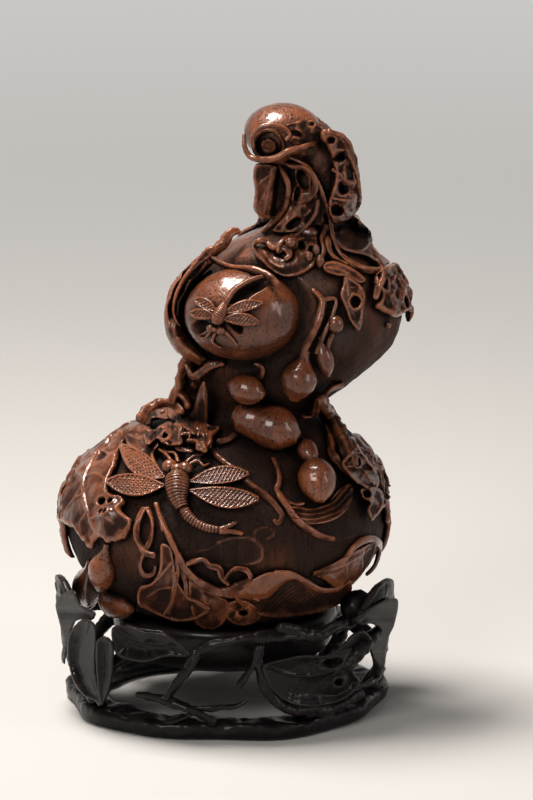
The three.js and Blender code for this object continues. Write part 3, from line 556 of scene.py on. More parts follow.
class Wires:
    """Adds and links the nodes of one tree."""

    def __init__(self, tree):
        self.tree = tree

    def add(self, kind, **settings):
        node = self.tree.nodes.new(kind)
        for key, value in settings.items():
            setattr(node, key, value)
        return node

    def link(self, out, into):
        self.tree.links.new(out, into)

    def math(self, operation, a, b=0.0, clamp=False):
        node = self.add("ShaderNodeMath", operation=operation, use_clamp=clamp)
        for socket, value in zip(node.inputs, (a, b)):
            if isinstance(value, (int, float)):
                socket.default_value = value
            else:
                self.link(value, socket)
        return node.outputs[0]

    def times(self, a, b):
        return self.math("MULTIPLY", a, b)

    def plus(self, a, b, clamp=False):
        return self.math("ADD", a, b, clamp)

    def mix(self, factor, a, b):
        node = self.add("ShaderNodeMix", data_type="RGBA")
        for socket, value in zip((node.inputs[0], node.inputs[6], node.inputs[7]), (factor, a, b)):
            if isinstance(value, tuple):
                socket.default_value = (*value, 1)
            elif isinstance(value, (int, float)):
                socket.default_value = value
            else:
                self.link(value, socket)
        return node.outputs[2]

    def ramp(self, value, low, high, a=0.0, b=1.0):
        node = self.add("ShaderNodeMapRange", interpolation_type="SMOOTHSTEP")
        self.link(value, node.inputs[0])
        for socket, number in zip(node.inputs[1:5], (low, high, a, b)):
            socket.default_value = number
        return node.outputs[0]

    def noise(self, scale, stretch=(1, 1, 1), detail=3.0, rough=0.55):
        coords = self.add("ShaderNodeTexCoord")
        mapping = self.add("ShaderNodeMapping")
        mapping.inputs["Scale"].default_value = stretch
        texture = self.add("ShaderNodeTexNoise")
        texture.inputs["Scale"].default_value = scale
        texture.inputs["Detail"].default_value = detail
        texture.inputs["Roughness"].default_value = rough
        self.link(coords.outputs["Object"], mapping.inputs[0])
        self.link(mapping.outputs[0], texture.inputs["Vector"])
        return texture.outputs[0]

    def cells(self, scale, stretch=(1, 1, 1)):
        coords = self.add("ShaderNodeTexCoord")
        mapping = self.add("ShaderNodeMapping")
        mapping.inputs["Scale"].default_value = stretch
        texture = self.add("ShaderNodeTexVoronoi")
        texture.inputs["Scale"].default_value = scale
        texture.inputs["Randomness"].default_value = 1.0
        self.link(coords.outputs["Object"], mapping.inputs[0])
        self.link(mapping.outputs[0], texture.inputs["Vector"])
        return texture.outputs["Distance"]


def scaled(colour, factor):
    return tuple(min(c * factor, 1) for c in colour)


def bamboo(name, dark, mid, bright, ground_rough=0.6, polish=0.3, pores=1.0, fibres=1.0):
    """Bamboo root: dark greyish ground with painted shade in its recesses, red-brown polished heights,
    fibres and rootlet pores.
    """
    material, tree = nodes_of(name)
    w = Wires(tree)
    raised = w.add("ShaderNodeAttribute", attribute_name="raised").outputs["Fac"]
    occluded = w.add("ShaderNodeAmbientOcclusion", samples=8)
    occluded.inputs["Distance"].default_value = 0.007
    open_sky = occluded.outputs["AO"]
    point = w.add("ShaderNodeNewGeometry").outputs["Pointiness"]
    fibre = w.noise(1.0, (1000, 1000, 60), 5.0, 0.65)
    streak = w.noise(1.0, (330, 330, 16), 4.0, 0.62)
    patch = w.noise(45, (1, 1, 0.6), 4.0, 0.6)
    stipple = w.noise(900, (1, 1, 0.5), 3.0, 0.65)
    spots = w.cells(860, (1, 1, 0.7))
    bundles = w.cells(820, (1, 1, 0.07))
    scarce = w.noise(110, (1, 1, 1), 2.0, 0.5)
    pore = w.times(w.ramp(spots, 0.3, 0.14), w.ramp(scarce, 0.36, 0.5))
    pore = w.times(pore, pores)
    line = w.times(w.ramp(bundles, 0.32, 0.12), fibres)
    # How raised a point is, dimmed by ambient occlusion: it carries wear, and painted shade in hollows and
    # under carved pieces.
    height = w.times(w.ramp(raised, 0.25, 0.95), w.ramp(open_sky, 0.35, 0.95))
    # Ground to middle colour by wear and random patches, darker where the ambient occlusion paints shade.
    wear_and_shade = w.plus(height, w.times(w.math("SUBTRACT", patch, 0.5), 0.5), clamp=True)
    colour = w.mix(wear_and_shade, dark, mid)
    bright_share = w.times(height, w.ramp(patch, 0.36, 0.66))
    colour = w.mix(bright_share, colour, bright)
    # Sharp raised edges are lightened: partly rubbed wear, partly a painted highlight.
    edge = w.times(w.ramp(point, 0.505, 0.56), 0.6)
    colour = w.mix(w.times(edge, height), colour, scaled(bright, 1.7))
    colour = w.mix(w.ramp(streak, 0.48, 0.7, 0.0, 0.6 * fibres), colour, scaled(mid, 0.35))
    colour = w.mix(w.ramp(fibre, 0.5, 0.72, 0.0, 0.7 * fibres), colour, scaled(mid, 0.3))
    colour = w.mix(w.ramp(fibre, 0.48, 0.3, 0.0, 0.3 * fibres), colour, scaled(mid, 1.7))
    colour = w.mix(w.times(line, 0.55), colour, scaled(dark, 0.3))
    colour = w.mix(w.times(pore, 0.92), colour, (0.006, 0.003, 0.002))
    # Painted shade: the colour is pulled towards a near-black brown where ambient occlusion is low, in
    # creases and under carved pieces.
    shade = w.math("POWER", open_sky, 1.35)
    deep = w.math("SUBTRACT", 1.0, w.ramp(shade, 0.12, 0.85))
    colour = w.mix(w.times(deep, 0.92), colour, scaled(dark, 0.12))
    bump_height = w.times(fibre, 1.1 * fibres)
    bump_height = w.plus(bump_height, w.times(streak, 1.4 * fibres))
    bump_height = w.math("SUBTRACT", bump_height, w.times(pore, 2.4))
    bump_height = w.math("SUBTRACT", bump_height, w.times(line, 0.7))
    coarse = w.times(stipple, w.ramp(height, 0.7, 0.15, 0.5, 1.6))
    bump_height = w.plus(bump_height, coarse)
    bump = w.add("ShaderNodeBump")
    bump.inputs["Strength"].default_value = 0.8
    bump.inputs["Distance"].default_value = 0.0004
    w.link(bump_height, bump.inputs["Height"])
    shader = w.add("ShaderNodeBsdfPrincipled")
    w.link(colour, shader.inputs["Base Color"])
    rough = w.plus(w.ramp(height, 0.1, 0.9, ground_rough, polish), w.times(streak, 0.14))
    w.link(w.plus(rough, w.times(pore, 0.3), clamp=True), shader.inputs["Roughness"])
    w.link(w.ramp(height, 0.2, 0.9, 0.0, 0.8), shader.inputs["Coat Weight"])
    shader.inputs["Coat Roughness"].default_value = 0.16
    shader.inputs["Coat IOR"].default_value = 1.44
    w.link(w.ramp(height, 0.1, 0.8, 0.1, 0.22), shader.inputs["Specular IOR Level"])
    w.link(bump.outputs[0], shader.inputs["Normal"])
    w.link(shader.outputs[0], w.add("ShaderNodeOutputMaterial").inputs[0])
    return material


def hardwood(name):
    """Near-black hardwood with a waxed skin and a fine grain, painted highlights on its sharp edges and
    painted shade in its hollows.
    """
    material, tree = nodes_of(name)
    w = Wires(tree)
    occluded = w.add("ShaderNodeAmbientOcclusion", samples=8)
    occluded.inputs["Distance"].default_value = 0.008
    point = w.add("ShaderNodeNewGeometry").outputs["Pointiness"]
    grain = w.noise(1.0, (220, 900, 900), 4.0, 0.6)
    patch = w.noise(60, (1, 1, 1), 3.0, 0.5)
    colour = w.mix(w.ramp(grain, 0.35, 0.7), (0.0035, 0.0026, 0.003), (0.008, 0.0056, 0.006))
    # Painted highlight: sharp edges are lightened to a grey-brown.
    colour = w.mix(w.ramp(point, 0.51, 0.57, 0.0, 0.5), colour, (0.03, 0.022, 0.021))
    # Painted shade: hollows darken where ambient occlusion is low.
    colour = w.mix(w.ramp(occluded.outputs["AO"], 0.7, 0.2, 0.0, 0.8), colour, (0.003, 0.0022, 0.0022))
    bump = w.add("ShaderNodeBump")
    bump.inputs["Strength"].default_value = 0.4
    bump.inputs["Distance"].default_value = 0.00015
    w.link(w.plus(grain, w.times(patch, 1.2)), bump.inputs["Height"])
    shader = w.add("ShaderNodeBsdfPrincipled")
    w.link(colour, shader.inputs["Base Color"])
    w.link(w.plus(w.ramp(patch, 0.3, 0.7, 0.2, 0.38), w.times(grain, 0.12)),
           shader.inputs["Roughness"])
    shader.inputs["Specular IOR Level"].default_value = 0.11
    shader.inputs["Coat Weight"].default_value = 0.11
    shader.inputs["Coat Roughness"].default_value = 0.12
    w.link(bump.outputs[0], shader.inputs["Normal"])
    w.link(shader.outputs[0], w.add("ShaderNodeOutputMaterial").inputs[0])
    return material


DARK, MID, BRIGHT = (0.016, 0.0076, 0.0054), (0.078, 0.0195, 0.0062), (0.19, 0.053, 0.0165)
SKIN = bamboo("bamboo_ground", DARK, (0.037, 0.0148, 0.0088), (0.19, 0.053, 0.0175), 0.56, 0.3, 0.5, 1.0)
CARVED = bamboo("bamboo_carved", DARK, MID, BRIGHT, 0.52, 0.26, 0.45, 0.45)
FRUIT = bamboo("bamboo_fruit", DARK, (0.09, 0.022, 0.0068), (0.2, 0.055, 0.017), 0.46, 0.22, 1.0, 0.7)
WOOD = hardwood("dark_hardwood_polished")


def make(node, parts, material=CARVED, body="carving", slot="bamboo_root"):
    """One piece of the real object's surface, standing for the node of that name."""
    offset, points, faces, raised = 0, [], [], []
    for p, f, r in parts:
        points.append(p)
        faces.append(np.asarray(f) + offset)
        raised.append(r)
        offset += len(p)
    points = (np.vstack(points) + SHIFT) * 0.001
    quads = [list(dict.fromkeys(face)) for face in np.vstack(faces).tolist()]
    mesh = bpy.data.meshes.new(node + "_surface")
    mesh.from_pydata(points.tolist(), [], [q for q in quads if len(q) > 2])
    solid = bmesh.new()
    solid.from_mesh(mesh)
    bmesh.ops.recalc_face_normals(solid, faces=solid.faces)
    solid.to_mesh(mesh)
    solid.free()
    mesh.attributes.new("raised", "FLOAT", "POINT").data.foreach_set("value", np.concatenate(raised))
    mesh.polygons.foreach_set("use_smooth", [True] * len(mesh.polygons))
    mesh.materials.append(material)
    mesh.update()
    piece = bpy.data.objects.new(node + "_surface", mesh)
    bpy.context.scene.collection.objects.link(piece)
    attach(piece, body)
    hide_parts(node)
    return piece


def lifted(places, lifts):
    """Places with how far each is from the skin, as one number or one for each."""
    return np.column_stack([places, np.broadcast_to(np.asarray(lifts, float), (len(places),))])


def drawing(steps, left, top):
    """Reads places of a front view on a grid of so many steps to a millimetre from its top left."""
    def places(points, lifts=None):
        p = np.asarray(points, float)
        p = np.column_stack([p[:, 0] / steps - left, top - p[:, 1] / steps])
        return p if lifts is None else lifted(p, lifts)

    return places


hi = drawing(12.92, 51.79, 78.65)
lo = drawing(11.667, 64.29, 47.34)
low = drawing(11.667, 62.5, 50.36)


def bored(grid, *spots):
    """Bored holes: each place on a grid, half-width and half-height in mm, and any turn in degrees."""
    return [(*grid([spot[:2]])[0], *spot[2:]) for spot in spots]


def bead(view, places, lift, radii, rough, seed):
    return ball(view.at(places, lift)[0], np.asarray(radii, float), rough=rough, seed=seed)


STRAP = dict(rough=0.05, ridges=2, depth=0.12, twist=0.12, step=0.3, knots=0.1)
STRAND = dict(rough=0.1, ridges=3, depth=0.14, twist=0.3, step=0.3, knots=0.16, spurs=0.03)


def strap(view, route, radii, **more):
    """A smooth, slightly flattened vine."""
    return vine(view, route, radii, **STRAP, **more)


def strand(view, route, radii):
    """A ridged and knotted vine with broken side shoots."""
    return vine(view, route, radii, **STRAND)


def surface_normals(grid):
    """Outward normals of a grid of rows that each close on themselves."""
    du = np.roll(grid, -1, 1) - np.roll(grid, 1, 1)
    dv = np.gradient(grid, axis=0)
    n = np.cross(du, dv)
    return n / np.maximum(np.linalg.norm(n, axis=2), 1e-6)[..., None]


# Fine raised lines on the bare skin: a route, a width and a height.
SWIRLS = [
    (lo([(720, 585), (790, 565), (860, 570), (905, 615), (900, 655), (850, 675), (760, 682)]), 0.45, 0.8),
    (lo([(870, 575), (872, 545), (905, 525), (940, 530), (950, 555), (925, 570)]), 0.45, 0.7),
    (lo([(640, 620), (690, 610), (730, 585)]), 0.5, 0.6),
    (lo([(1040, 520), (1110, 560), (1180, 580), (1290, 560)]), 0.6, 0.4),
]


def gourd_surface():
    """The gourd's bare skin, hollowed round the young gourd, with painted shade in that hollow."""
    rows, columns = 370, 410
    z = np.linspace(GOURD_BOTTOM + 0.02, NECK[2] - 1, 4000)
    r = gourd_radius(z)
    gone = np.concatenate([[0], np.cumsum(np.hypot(np.diff(z), np.diff(r)))])
    z = np.interp(np.linspace(0, gone[-1], rows), gone, z)
    r = gourd_radius(z)
    a = np.linspace(0, 2 * math.pi, columns, endpoint=False)
    grid = np.stack([axis_x(z)[:, None] + r[:, None] * np.cos(a),
                     (r * gourd_depth(z))[:, None] * np.sin(a), z[:, None] * np.ones(columns)], -1)
    normal = surface_normals(grid).reshape(-1, 3)
    p = grid.reshape(-1, 3)
    lump = 0.4 * noise(p, 10, 2) + 0.16 * noise(p, 3.0, 2, 4)
    tone = 0.34 + 0.2 * noise(p, 16, 2, 8)
    tone += 0.14 * smooth(p[:, 2], 112, 135) + 0.5 * smooth(p[:, 2], 154, 174)
    front = p[:, 1] < 0
    away = (HIGH.read(p) - HIGH.read(YOUNG_CENTRE[None])) / YOUNG_RADII[[0, 2]]
    moat = np.where(front, np.exp(-(((np.hypot(away[:, 0], away[:, 1]) - 1.06) / 0.13) ** 2)), 0)
    lump -= 1.8 * moat
    # Painted shade: the tone is lowered in the groove round the young gourd.
    tone -= 0.35 * moat
    uw = LOW.read(p)
    for line, wide, deep in SWIRLS:
        gap, _ = segment_distance(uw, spline(line, 10 * len(line)))
        cut = np.where(front, deep * np.exp(-((gap / wide) ** 2)), 0)
        lump += 0.6 * cut
        tone += 0.5 * cut
    p = p + normal * lump[:, None]
    points, faces = capped(p, rows, columns)
    return points, faces, np.append(np.clip(tone, 0, 1), [0.3, 0.3])


def tip_surfaces():
    """The neck, and the hooked stem that bends over it."""
    def at(x, y, z):
        return NECK + [x, y, z]

    neck = tube([at(-1, 0, -14), at(0.5, 0, -3), at(-1, -0.5, 5), at(-7, -1.5, 12)], [10.4, 10.2, 9.6, 8.6],
                sides=96, step=0.5, domed=False, rough=0.03, tone=0.6)
    nose = tube([at(-12, -3, 11), at(-14.6, -6.5, 11), at(-16, -9, 10.9), at(-17, -11.2, 10.8)],
                [11, 10.4, 9.0, 6.4], sides=96, step=0.4, domed=False, rough=0.02, tone=0.75)
    return [neck, ball(HOOD_CENTRE, HOOD_RADII, 180, 130, 0.9, 0.014), nose]


def turned_piece(outline, axis, centre, sides=96, tone=0.8, rough=0.04):
    """A lathed ring round an axis: pairs of radius and height, closed at both ends."""
    axis = axis / np.linalg.norm(axis)
    first = np.cross(axis, [0, 0.3, 1.0])
    first /= np.linalg.norm(first)
    second = np.cross(axis, first)
    line = spline(outline, 60)
    a = np.linspace(0, 2 * math.pi, sides, endpoint=False)
    spoke = np.cos(a)[:, None] * first + np.sin(a)[:, None] * second
    p = line[:, :1, None] * spoke[None] + line[:, 1:2, None] * axis + centre
    p = p.reshape(-1, 3)
    p = p + noise(p, 2.0, 3)[:, None] * rough * (p - centre)
    points, faces = capped(p, len(line), sides)
    return points, faces, np.append(np.full(len(p), tone), [tone, tone])


def wing(view, root, tip, width, bow, lift, seed):
    """A wing with a raised rim, long veins and a lattice between them."""
    root, tip = np.asarray(root, float), np.asarray(tip, float)
    span = tip - root
    length = np.linalg.norm(span)
    ahead, across = span / length, np.array([span[1], -span[0]]) / length
    t = np.linspace(0, 1, 24)
    half = width * along([0.16, 0.55, 0.88, 1.02, 0.98, 0.72, 0.22], t)
    middle = root + np.outer(t, span) + np.outer(np.sin(math.pi * t) * bow, [0, 1])
    outline = np.vstack([middle - across * half[:, None], (middle + across * half[:, None])[::-1]])

    def lattice(p, d):
        q = p - root
        x, y = q @ ahead, q @ across
        pitch = 1.0 + 0.15 * width
        slant = np.abs(((x + 0.75 * y) / pitch) % 1 - 0.5) * 2
        other = np.abs(((x - 1.1 * y) / pitch) % 1 - 0.5) * 2
        long = np.abs((y / (width * 0.66) + 0.5) % 1 - 0.5) * 2
        net = np.maximum(smooth(slant, 0.3, 0.85), 0.7 * smooth(other, 0.5, 0.95))
        net = np.maximum(net, smooth(long, 0.75, 0.97))
        return smooth(d, 0.35, 0.8) * (0.32 * net - 0.2)

    return plate(view, outline, lift=lift, thick=1.1, edge=0.5, cell=0.17, rim=(0.35, 0.4, 0.35), bump=0.02,
                 form=lattice, tone=0.95, seed=seed, smoothed=False)


def dragonfly(view, size, body, eyes, wing_lift, wings, tail, legs, fork):
    """A ringed body and tail, eyes, head, four wings, legs and any fork at the tail's end."""
    parts = []
    body = np.asarray(body, float)
    shape = [0.62, 0.98, 1.06, 1.0, 0.86, 0.7, 0.58]
    parts.append(vine(view, body, np.array(shape) * size, sides=40, step=0.12, rings=(0.24 * size, 0.12),
                      rough=0.01, domed=False, tone=0.95))
    for i, (u, w, lift) in enumerate(eyes):
        centre = view.at([(u, w)], lift)[0]
        parts.append(ball(centre, np.full(3, 0.66 * size), tone=1.0, rough=0.015, seed=i))
    head = view.at([np.mean([e[:2] for e in eyes], axis=0)], body[0][2])[0]
    parts.append(ball(head, np.array([0.6, 0.5, 0.4]) * size, tone=0.8, rough=0.05))
    for i, (root, tip, width, bow) in enumerate(wings):
        parts.append(wing(view, root, tip, width, bow, wing_lift + 0.25 * (i % 2), i))
    parts.append(vine(view, tail, np.array([0.5, 0.4, 0.36, 0.32]) * size, sides=24, step=0.15,
                      rings=(0.27 * size, 0.16), rough=0.05, tone=0.85))
    for route in fork:
        parts.append(vine(view, route, [0.3 * size, 0.16 * size], rough=0.08, step=0.25, tone=0.85))
    for leg in legs:
        parts.append(vine(view, leg, [0.75, 0.55, 0.5], sides=12, step=0.2, rough=0.08, tone=0.9))
    return parts


left_shoulder = View(gourd_skin, LOWER, -42, 0.6)
top_shoulder = View(gourd_skin, LOWER, -10, 0.9)
right_shoulder = View(gourd_skin, LOWER, 50, 0.5)
right_side = View(gourd_skin, LOWER, 80)
right_rear = View(gourd_skin, LOWER, 115)
rear = View(gourd_skin, LOWER, 180)
left_side = View(gourd_skin, LOWER, -95)
right_of_upper = View(gourd_skin, UPPER, 40, 0.4)
rear_of_upper = View(gourd_skin, UPPER, 180)
young = View(oval_skin(YOUNG_CENTRE, YOUNG_RADII), UPPER)
cap = View(oval_skin(HOOD_CENTRE, HOOD_RADII), NECK)
hood = View(oval_skin(NECK + [-15, -6, 12], np.array([14.2, 14.5, 11.2])), UPPER)


def carrying(view, source, grid):
    """Reads places that one view sees on its grid, and gives them as another view sees them."""
    def places(points):
        return carried(view, source, grid(points))

    return places


on_cap = carrying(cap, HIGH, hi)
on_right = carrying(right_of_upper, HIGH, hi)
on_left_shoulder = carrying(left_shoulder, LOW, lo)
on_top_shoulder = carrying(top_shoulder, LOW, lo)
on_right_shoulder = carrying(right_shoulder, LOW, lo)

make("gourd_body", [gourd_surface()] + tip_surfaces(), SKIN)

nose_end = NECK + [-17.0, -11.4, 10.8]
nose_axis = np.array([-0.7, -3.0, 0.1])
make("stem_end", [
    turned_piece([(0.1, 0), (5.4, -0.4), (6.0, 1.6), (6.1, 3.6), (5.7, 4.7), (5.1, 4.6), (4.5, 3.2),
        (4.1, 1.4), (0.1, 1.0)], nose_axis, nose_end, tone=0.6, rough=0.05),
    turned_piece([(2.7, 0.6), (2.7, 4.4), (2.3, 5.0), (1.7, 5.0), (1.5, 4.8), (0.1, 4.9)], nose_axis,
        nose_end, tone=0.55, rough=0.06),
    vine(hood, hi([(436, 192), (438, 254), (464, 299), (521, 313), (579, 306), (636, 275), (707, 255),
        (765, 227), (808, 192)], [0.3, 0.5, 0.7, 1.1, 1.2, 0.9, 0.7, 0.6, 0.5]), [0.7, 1.1, 1.2, 0.9, 0.6],
        rough=0.05, step=0.25),
    vine(hood, hi([(477, 263), (474, 211), (502, 172), (560, 156), (617, 170), (643, 204), (622, 227)],
        [0.8, 0.8, 0.8, 0.8, 0.7, 0.6, 0.4]), [0.7, 1.0, 0.9, 0.6], rough=0.05, step=0.25),
])


def young_surface():
    """The young gourd's smooth skin with three hollows cut in its front, painted lighter at the top and
    darker at the bottom and in the hollows, as light and shade.
    """
    p, f, r = ball(YOUNG_CENTRE, YOUNG_RADII, 260, 180, 0.8, 0.008)
    # Random tone, and a painted gradient of light: lighter towards the top, darker towards the bottom.
    r = r + 0.16 * noise(p, 5.0, 3, 6) + 0.012 * (p[:, 2] - YOUNG_CENTRE[2])
    uw = HIGH.read(p)
    front = p[:, 1] < YOUNG_CENTRE[1] + 4
    out = p - YOUNG_CENTRE
    out /= np.linalg.norm(out, axis=1)[:, None]
    pits = [hi([(359, 967), (374, 917), (412, 883), (459, 859), (517, 853), (547, 874), (526, 900),
                (488, 921), (459, 942), (431, 964), (393, 975)]),
            hi([(195, 1075), (215, 1045), (260, 1045), (285, 1070), (255, 1095), (225, 1110)]),
            hi([(360, 1050), (430, 1075), (425, 1110), (385, 1090)])]
    for pit in pits:
        d = inside_distance(uw, spline(pit, 80, closed=True))
        deep = np.where(front, smooth(d, -0.4, 1.6), 0)
        p = p - out * (4.2 * deep)[:, None]
        # Painted shade: the hollows are also darkened.
        r = r - 0.9 * deep
    return p, f, np.clip(r, 0, 1)


FRUIT_STEMS = {
    "small_gourd_round": ([(480, 1234), (519, 1260), (512, 1298), (474, 1322)], 1.0, [0.9, 1.2, 0.9]),
    "small_gourd_lying": ([(402, 1560), (359, 1589), (307, 1603)], 1.6, [1.1, 0.9, 1.2]),
}
make("young_gourd", [young_surface()], FRUIT)
for node, spec in {
    "small_gourd_round": (HIGH, (-23.5, -24.5, 5), (-11.5, -28.5, 6.5), 5.3, ROUND),
    "small_gourd_pear": (HIGH, (4, -13, 2), (-0.5, -30, 7), 6.2, PEAR),
    "small_gourd_lying": (HIGH, (-21.5, -34.5, 4.5), (0.5, -43.5, 6), 8, WAISTED),
    "small_gourd_bud": (LOW, (26, 35, 2.5), (31.5, 25.5, 4), 3.6, PEAR),
    "small_gourd_low": (LOW, (31.5, 27, 4), (33.5, 12, 4), 6.9, ROUND),
    "small_gourd_rear": (HIGH, (8.5, -8, 1), (11.5, -21.5, 2.5), 3.4, PEAR),
    "hanging_gourd_upper": (LOW, (-41.5, -3.5, 1.5), (-44, -19.5, 3.5), 5.2, PEAR),
    "hanging_gourd_outer": (LOW, (-48, -10, 1.5), (-50, -26.5, 2), 5.2, PEAR),
    "hanging_gourd_lower": (LOW, (-43.5, -23, 2.5), (-33.5, -26.5, 2.5), 5.3, ROUND),
    "side_gourd": (right_rear, (4, 6, 1.5), (8, -9, 5), 7.4, PEAR),
    "back_gourd_upper": (rear_of_upper, (2, 4, 1.5), (-4, -14, 6), 8.2, PEAR),
    "back_gourd_low": (rear, (-20, 2, 1), (-13, -14, 3), 7.6, WAISTED),
}.items():
    parts = [fruit(*spec, seed=len(node))]
    if node in FRUIT_STEMS:
        route, lift, radii = FRUIT_STEMS[node]
        parts.append(strap(HIGH, hi(route, lift), radii))
    make(node, parts, FRUIT)

make("small_dragonfly", dragonfly(young, 2.4, body=[(-28.2, -3.4, 2.2), (-26.5, 0, 2), (-24.5, 4, 1.2)],
    eyes=[(-29.8, -5.2, 1.9), (-26.3, -5.8, 1.9)], wing_lift=1.5, wings=[((-27.2, 0.5), (-36, 5.6), 2,
    0.3), ((-27.5, -1.2), (-37.5, 0.4), 2, 0.3), ((-26, 0), (-11.4, 4), 2.1, 0.6),
    ((-26, -1.8), (-12.5, -3), 2.3, 0.6)], tail=hi([(343, 988), (366, 945), (402, 900), (459, 866),
    (521, 847), (564, 859)], [1.6, 1.8, 2, 1.8, 1.6, 1]), legs=[[(-27, -4, 1.2), (-23, -8, 0.8),
    (-20.5, -11, 0.6)], [(-29, -5, 1), (-32, -8.5, 0.8), (-34, -8, 0.5)],
    [(-28, -6, 1), (-29, -10, 0.7), (-26, -12, 0.5)]], fork=[]))

make("neck_vines", [
    strap(HIGH, hi([(595, 284), (660, 306), (731, 351), (776, 425), (805, 502), (827, 587), (841, 664),
        (865, 726), (917, 788), (979, 821)], [5.6, 5.1, 4.6, 4.2, 4.0, 3.6, 3.0, 2.3, 1.7, 1.2]),
        [0.9, 0.7, 0.6, 0.65, 0.8]),
    strap(HIGH, hi([(591, 306), (612, 358), (637, 425), (633, 497), (607, 554), (564, 602), (517, 645)],
        [6.4, 6, 5, 3.6, 2.6, 1.8, 1]), [1.1, 1.3, 1.4, 1.1]),
    strap(HIGH, hi([(603, 309), (660, 341), (717, 351), (753, 392), (760, 444), (727, 492), (688, 511)],
        [5.8, 5.5, 5, 4.6, 4.2, 3.8, 3.2]), [0.9, 1.1, 0.9]),
    strap(HIGH, hi([(846, 688), (893, 719), (951, 731), (996, 707), (1011, 659), (989, 626), (955, 635),
        (951, 659)], [2.4, 1.8, 1.4, 1.4, 1.4, 1.4, 1.2, 1]), [0.7, 0.8, 0.9, 0.7]),
    strap(HIGH, hi([(774, 492), (765, 549), (736, 597), (688, 645), (641, 668)], [4.6, 4.4, 4, 3.6, 3.4]),
        [0.7, 0.9, 0.9]),
    strap(HIGH, hi([(812, 606), (793, 664), (798, 731), (774, 788)], [3.6, 3.2, 2.6, 2.2]),
        [0.8, 1.0, 0.9]),
    strand(HIGH, hi([(841, 645), (817, 688), (827, 740), (860, 769), (908, 797)], [3.4, 3, 2.4, 2, 1.6]),
        [0.9, 1.1, 1.0]),
    strand(HIGH, hi([(564, 435), (526, 492), (512, 549), (526, 587)], [1, 1, 1, 1]), [1.0, 1.2]),
])
LOOP_EYE = hi([(965, 666)])
make("neck_handle", [
    plate(HIGH, hi([(793, 172), (841, 192), (893, 215), (915, 273), (940, 349), (953, 425), (948, 511),
        (938, 561), (893, 589), (843, 602), (827, 570), (817, 511), (830, 463), (849, 406), (846, 349),
        (833, 292), (810, 249), (782, 211)]), lift=3.0, thick=3.2, edge=1.4, rim=(0.7, 0.8, 0.7),
        cell=0.32, bump=0.9, lumps=2.6, seed=10, holes=bored(hi, (874, 299, 2.5, 1.3, 20),
        (917, 387, 0.7, 2.6, 8), (884, 440, 1.6, 1.8), (855, 542, 1.8, 1.5, -15), (831, 223, 1.0, 0.8))),
    # A dark sheet on the skin under the pierced handle: painted shade behind its holes.
    plate(HIGH, hi([(800, 190), (841, 205), (885, 228), (905, 283), (928, 355), (941, 428), (936, 505),
        (926, 550), (889, 576), (850, 590), (838, 565), (829, 511), (842, 463), (861, 406), (858, 349),
        (845, 292), (820, 249), (795, 215)]), lift=0.2, thick=2.0, bump=0.5, cell=0.5, tone=0.05, seed=54),
    strand(HIGH, hi([(812, 182), (893, 217), (919, 282), (942, 358), (954, 444), (946, 521), (908, 568),
        (846, 587)], [4.4, 4.6, 4.6, 4.6, 4.6, 4.4, 4, 3]), [1.2, 1.5, 1.3, 1.2]),
    strand(HIGH, hi([(836, 354), (870, 378), (898, 411), (941, 411)], 4.4), [1.0, 1.3]),
    strand(HIGH, hi([(827, 482), (870, 492), (908, 497), (941, 482)], 4.2), [1.1, 1.4]),
    strap(HIGH, hi([(941, 568), (965, 606), (989, 635)], [3.0, 2.0, 1.2]), [1.4, 1.2]),
    plate(HIGH, hi([(884, 540), (946, 570), (984, 606), (1015, 635), (1020, 683), (1046, 726), (1103, 778),
        (1065, 793), (989, 751), (908, 732), (851, 690), (827, 635), (841, 578)]), lift=0.8, thick=1.8,
        rim=(0.5, 0.6, 0.6), bump=0.4, cell=0.36, tone=0.6, seed=51,
        form=lambda p, d: -2.6 * (1 - smooth(np.linalg.norm(p - LOOP_EYE, axis=1), 0.6, 2.6))),
])

tip_view = plane_view(UPPER, 9)


def hollow_leaf(p, d):
    """Its right half sinks behind a raised edge."""
    line = hi([(579, 344), (564, 406), (557, 473), (545, 549)])
    inner = p[:, 0] - np.interp(-p[:, 1], -line[:, 1], line[:, 0])
    return -3.5 * smooth(inner, 0.2, 2.2) * smooth(d, 0.2, 1.2) - 1.2 * (1 - smooth(d, 0, 2))


make("tip_leaf", [
    plate(tip_view, hi([(488, 332), (564, 328), (612, 358), (633, 416), (636, 492), (612, 549), (564, 580),
        (517, 573), (480, 540), (484, 454), (477, 387)]), lift=0, thick=2.0, rim=(0.5, 0.7, 0.8),
        form=hollow_leaf, cell=0.3, bump=0.35, seed=2, veins=[(hi([(564, 339), (550, 435), (526, 559)]),
        0.5, 0.5), (hi([(550, 425), (507, 511)]), 0.4, 0.4), (hi([(557, 378), (498, 425)]), 0.4, 0.4)]),
])
make("cap_leaf", [
    plate(cap, on_cap([(622, 158), (679, 134), (746, 134), (793, 163), (817, 206), (793, 249), (746, 254),
        (688, 254), (641, 234), (655, 201)]), lift=0.9, thick=1.8, rim=(0.5, 0.6, 0.5), cell=0.3, bump=0.5,
        lumps=2.5, seed=3, holes=bored(on_cap, (671, 194, 1.6, 0.8, -20), (744, 151, 0.7, 0.6))),
])


def shoulder_bulge(p, d):
    return 2.2 * smooth(d, 0, 4)


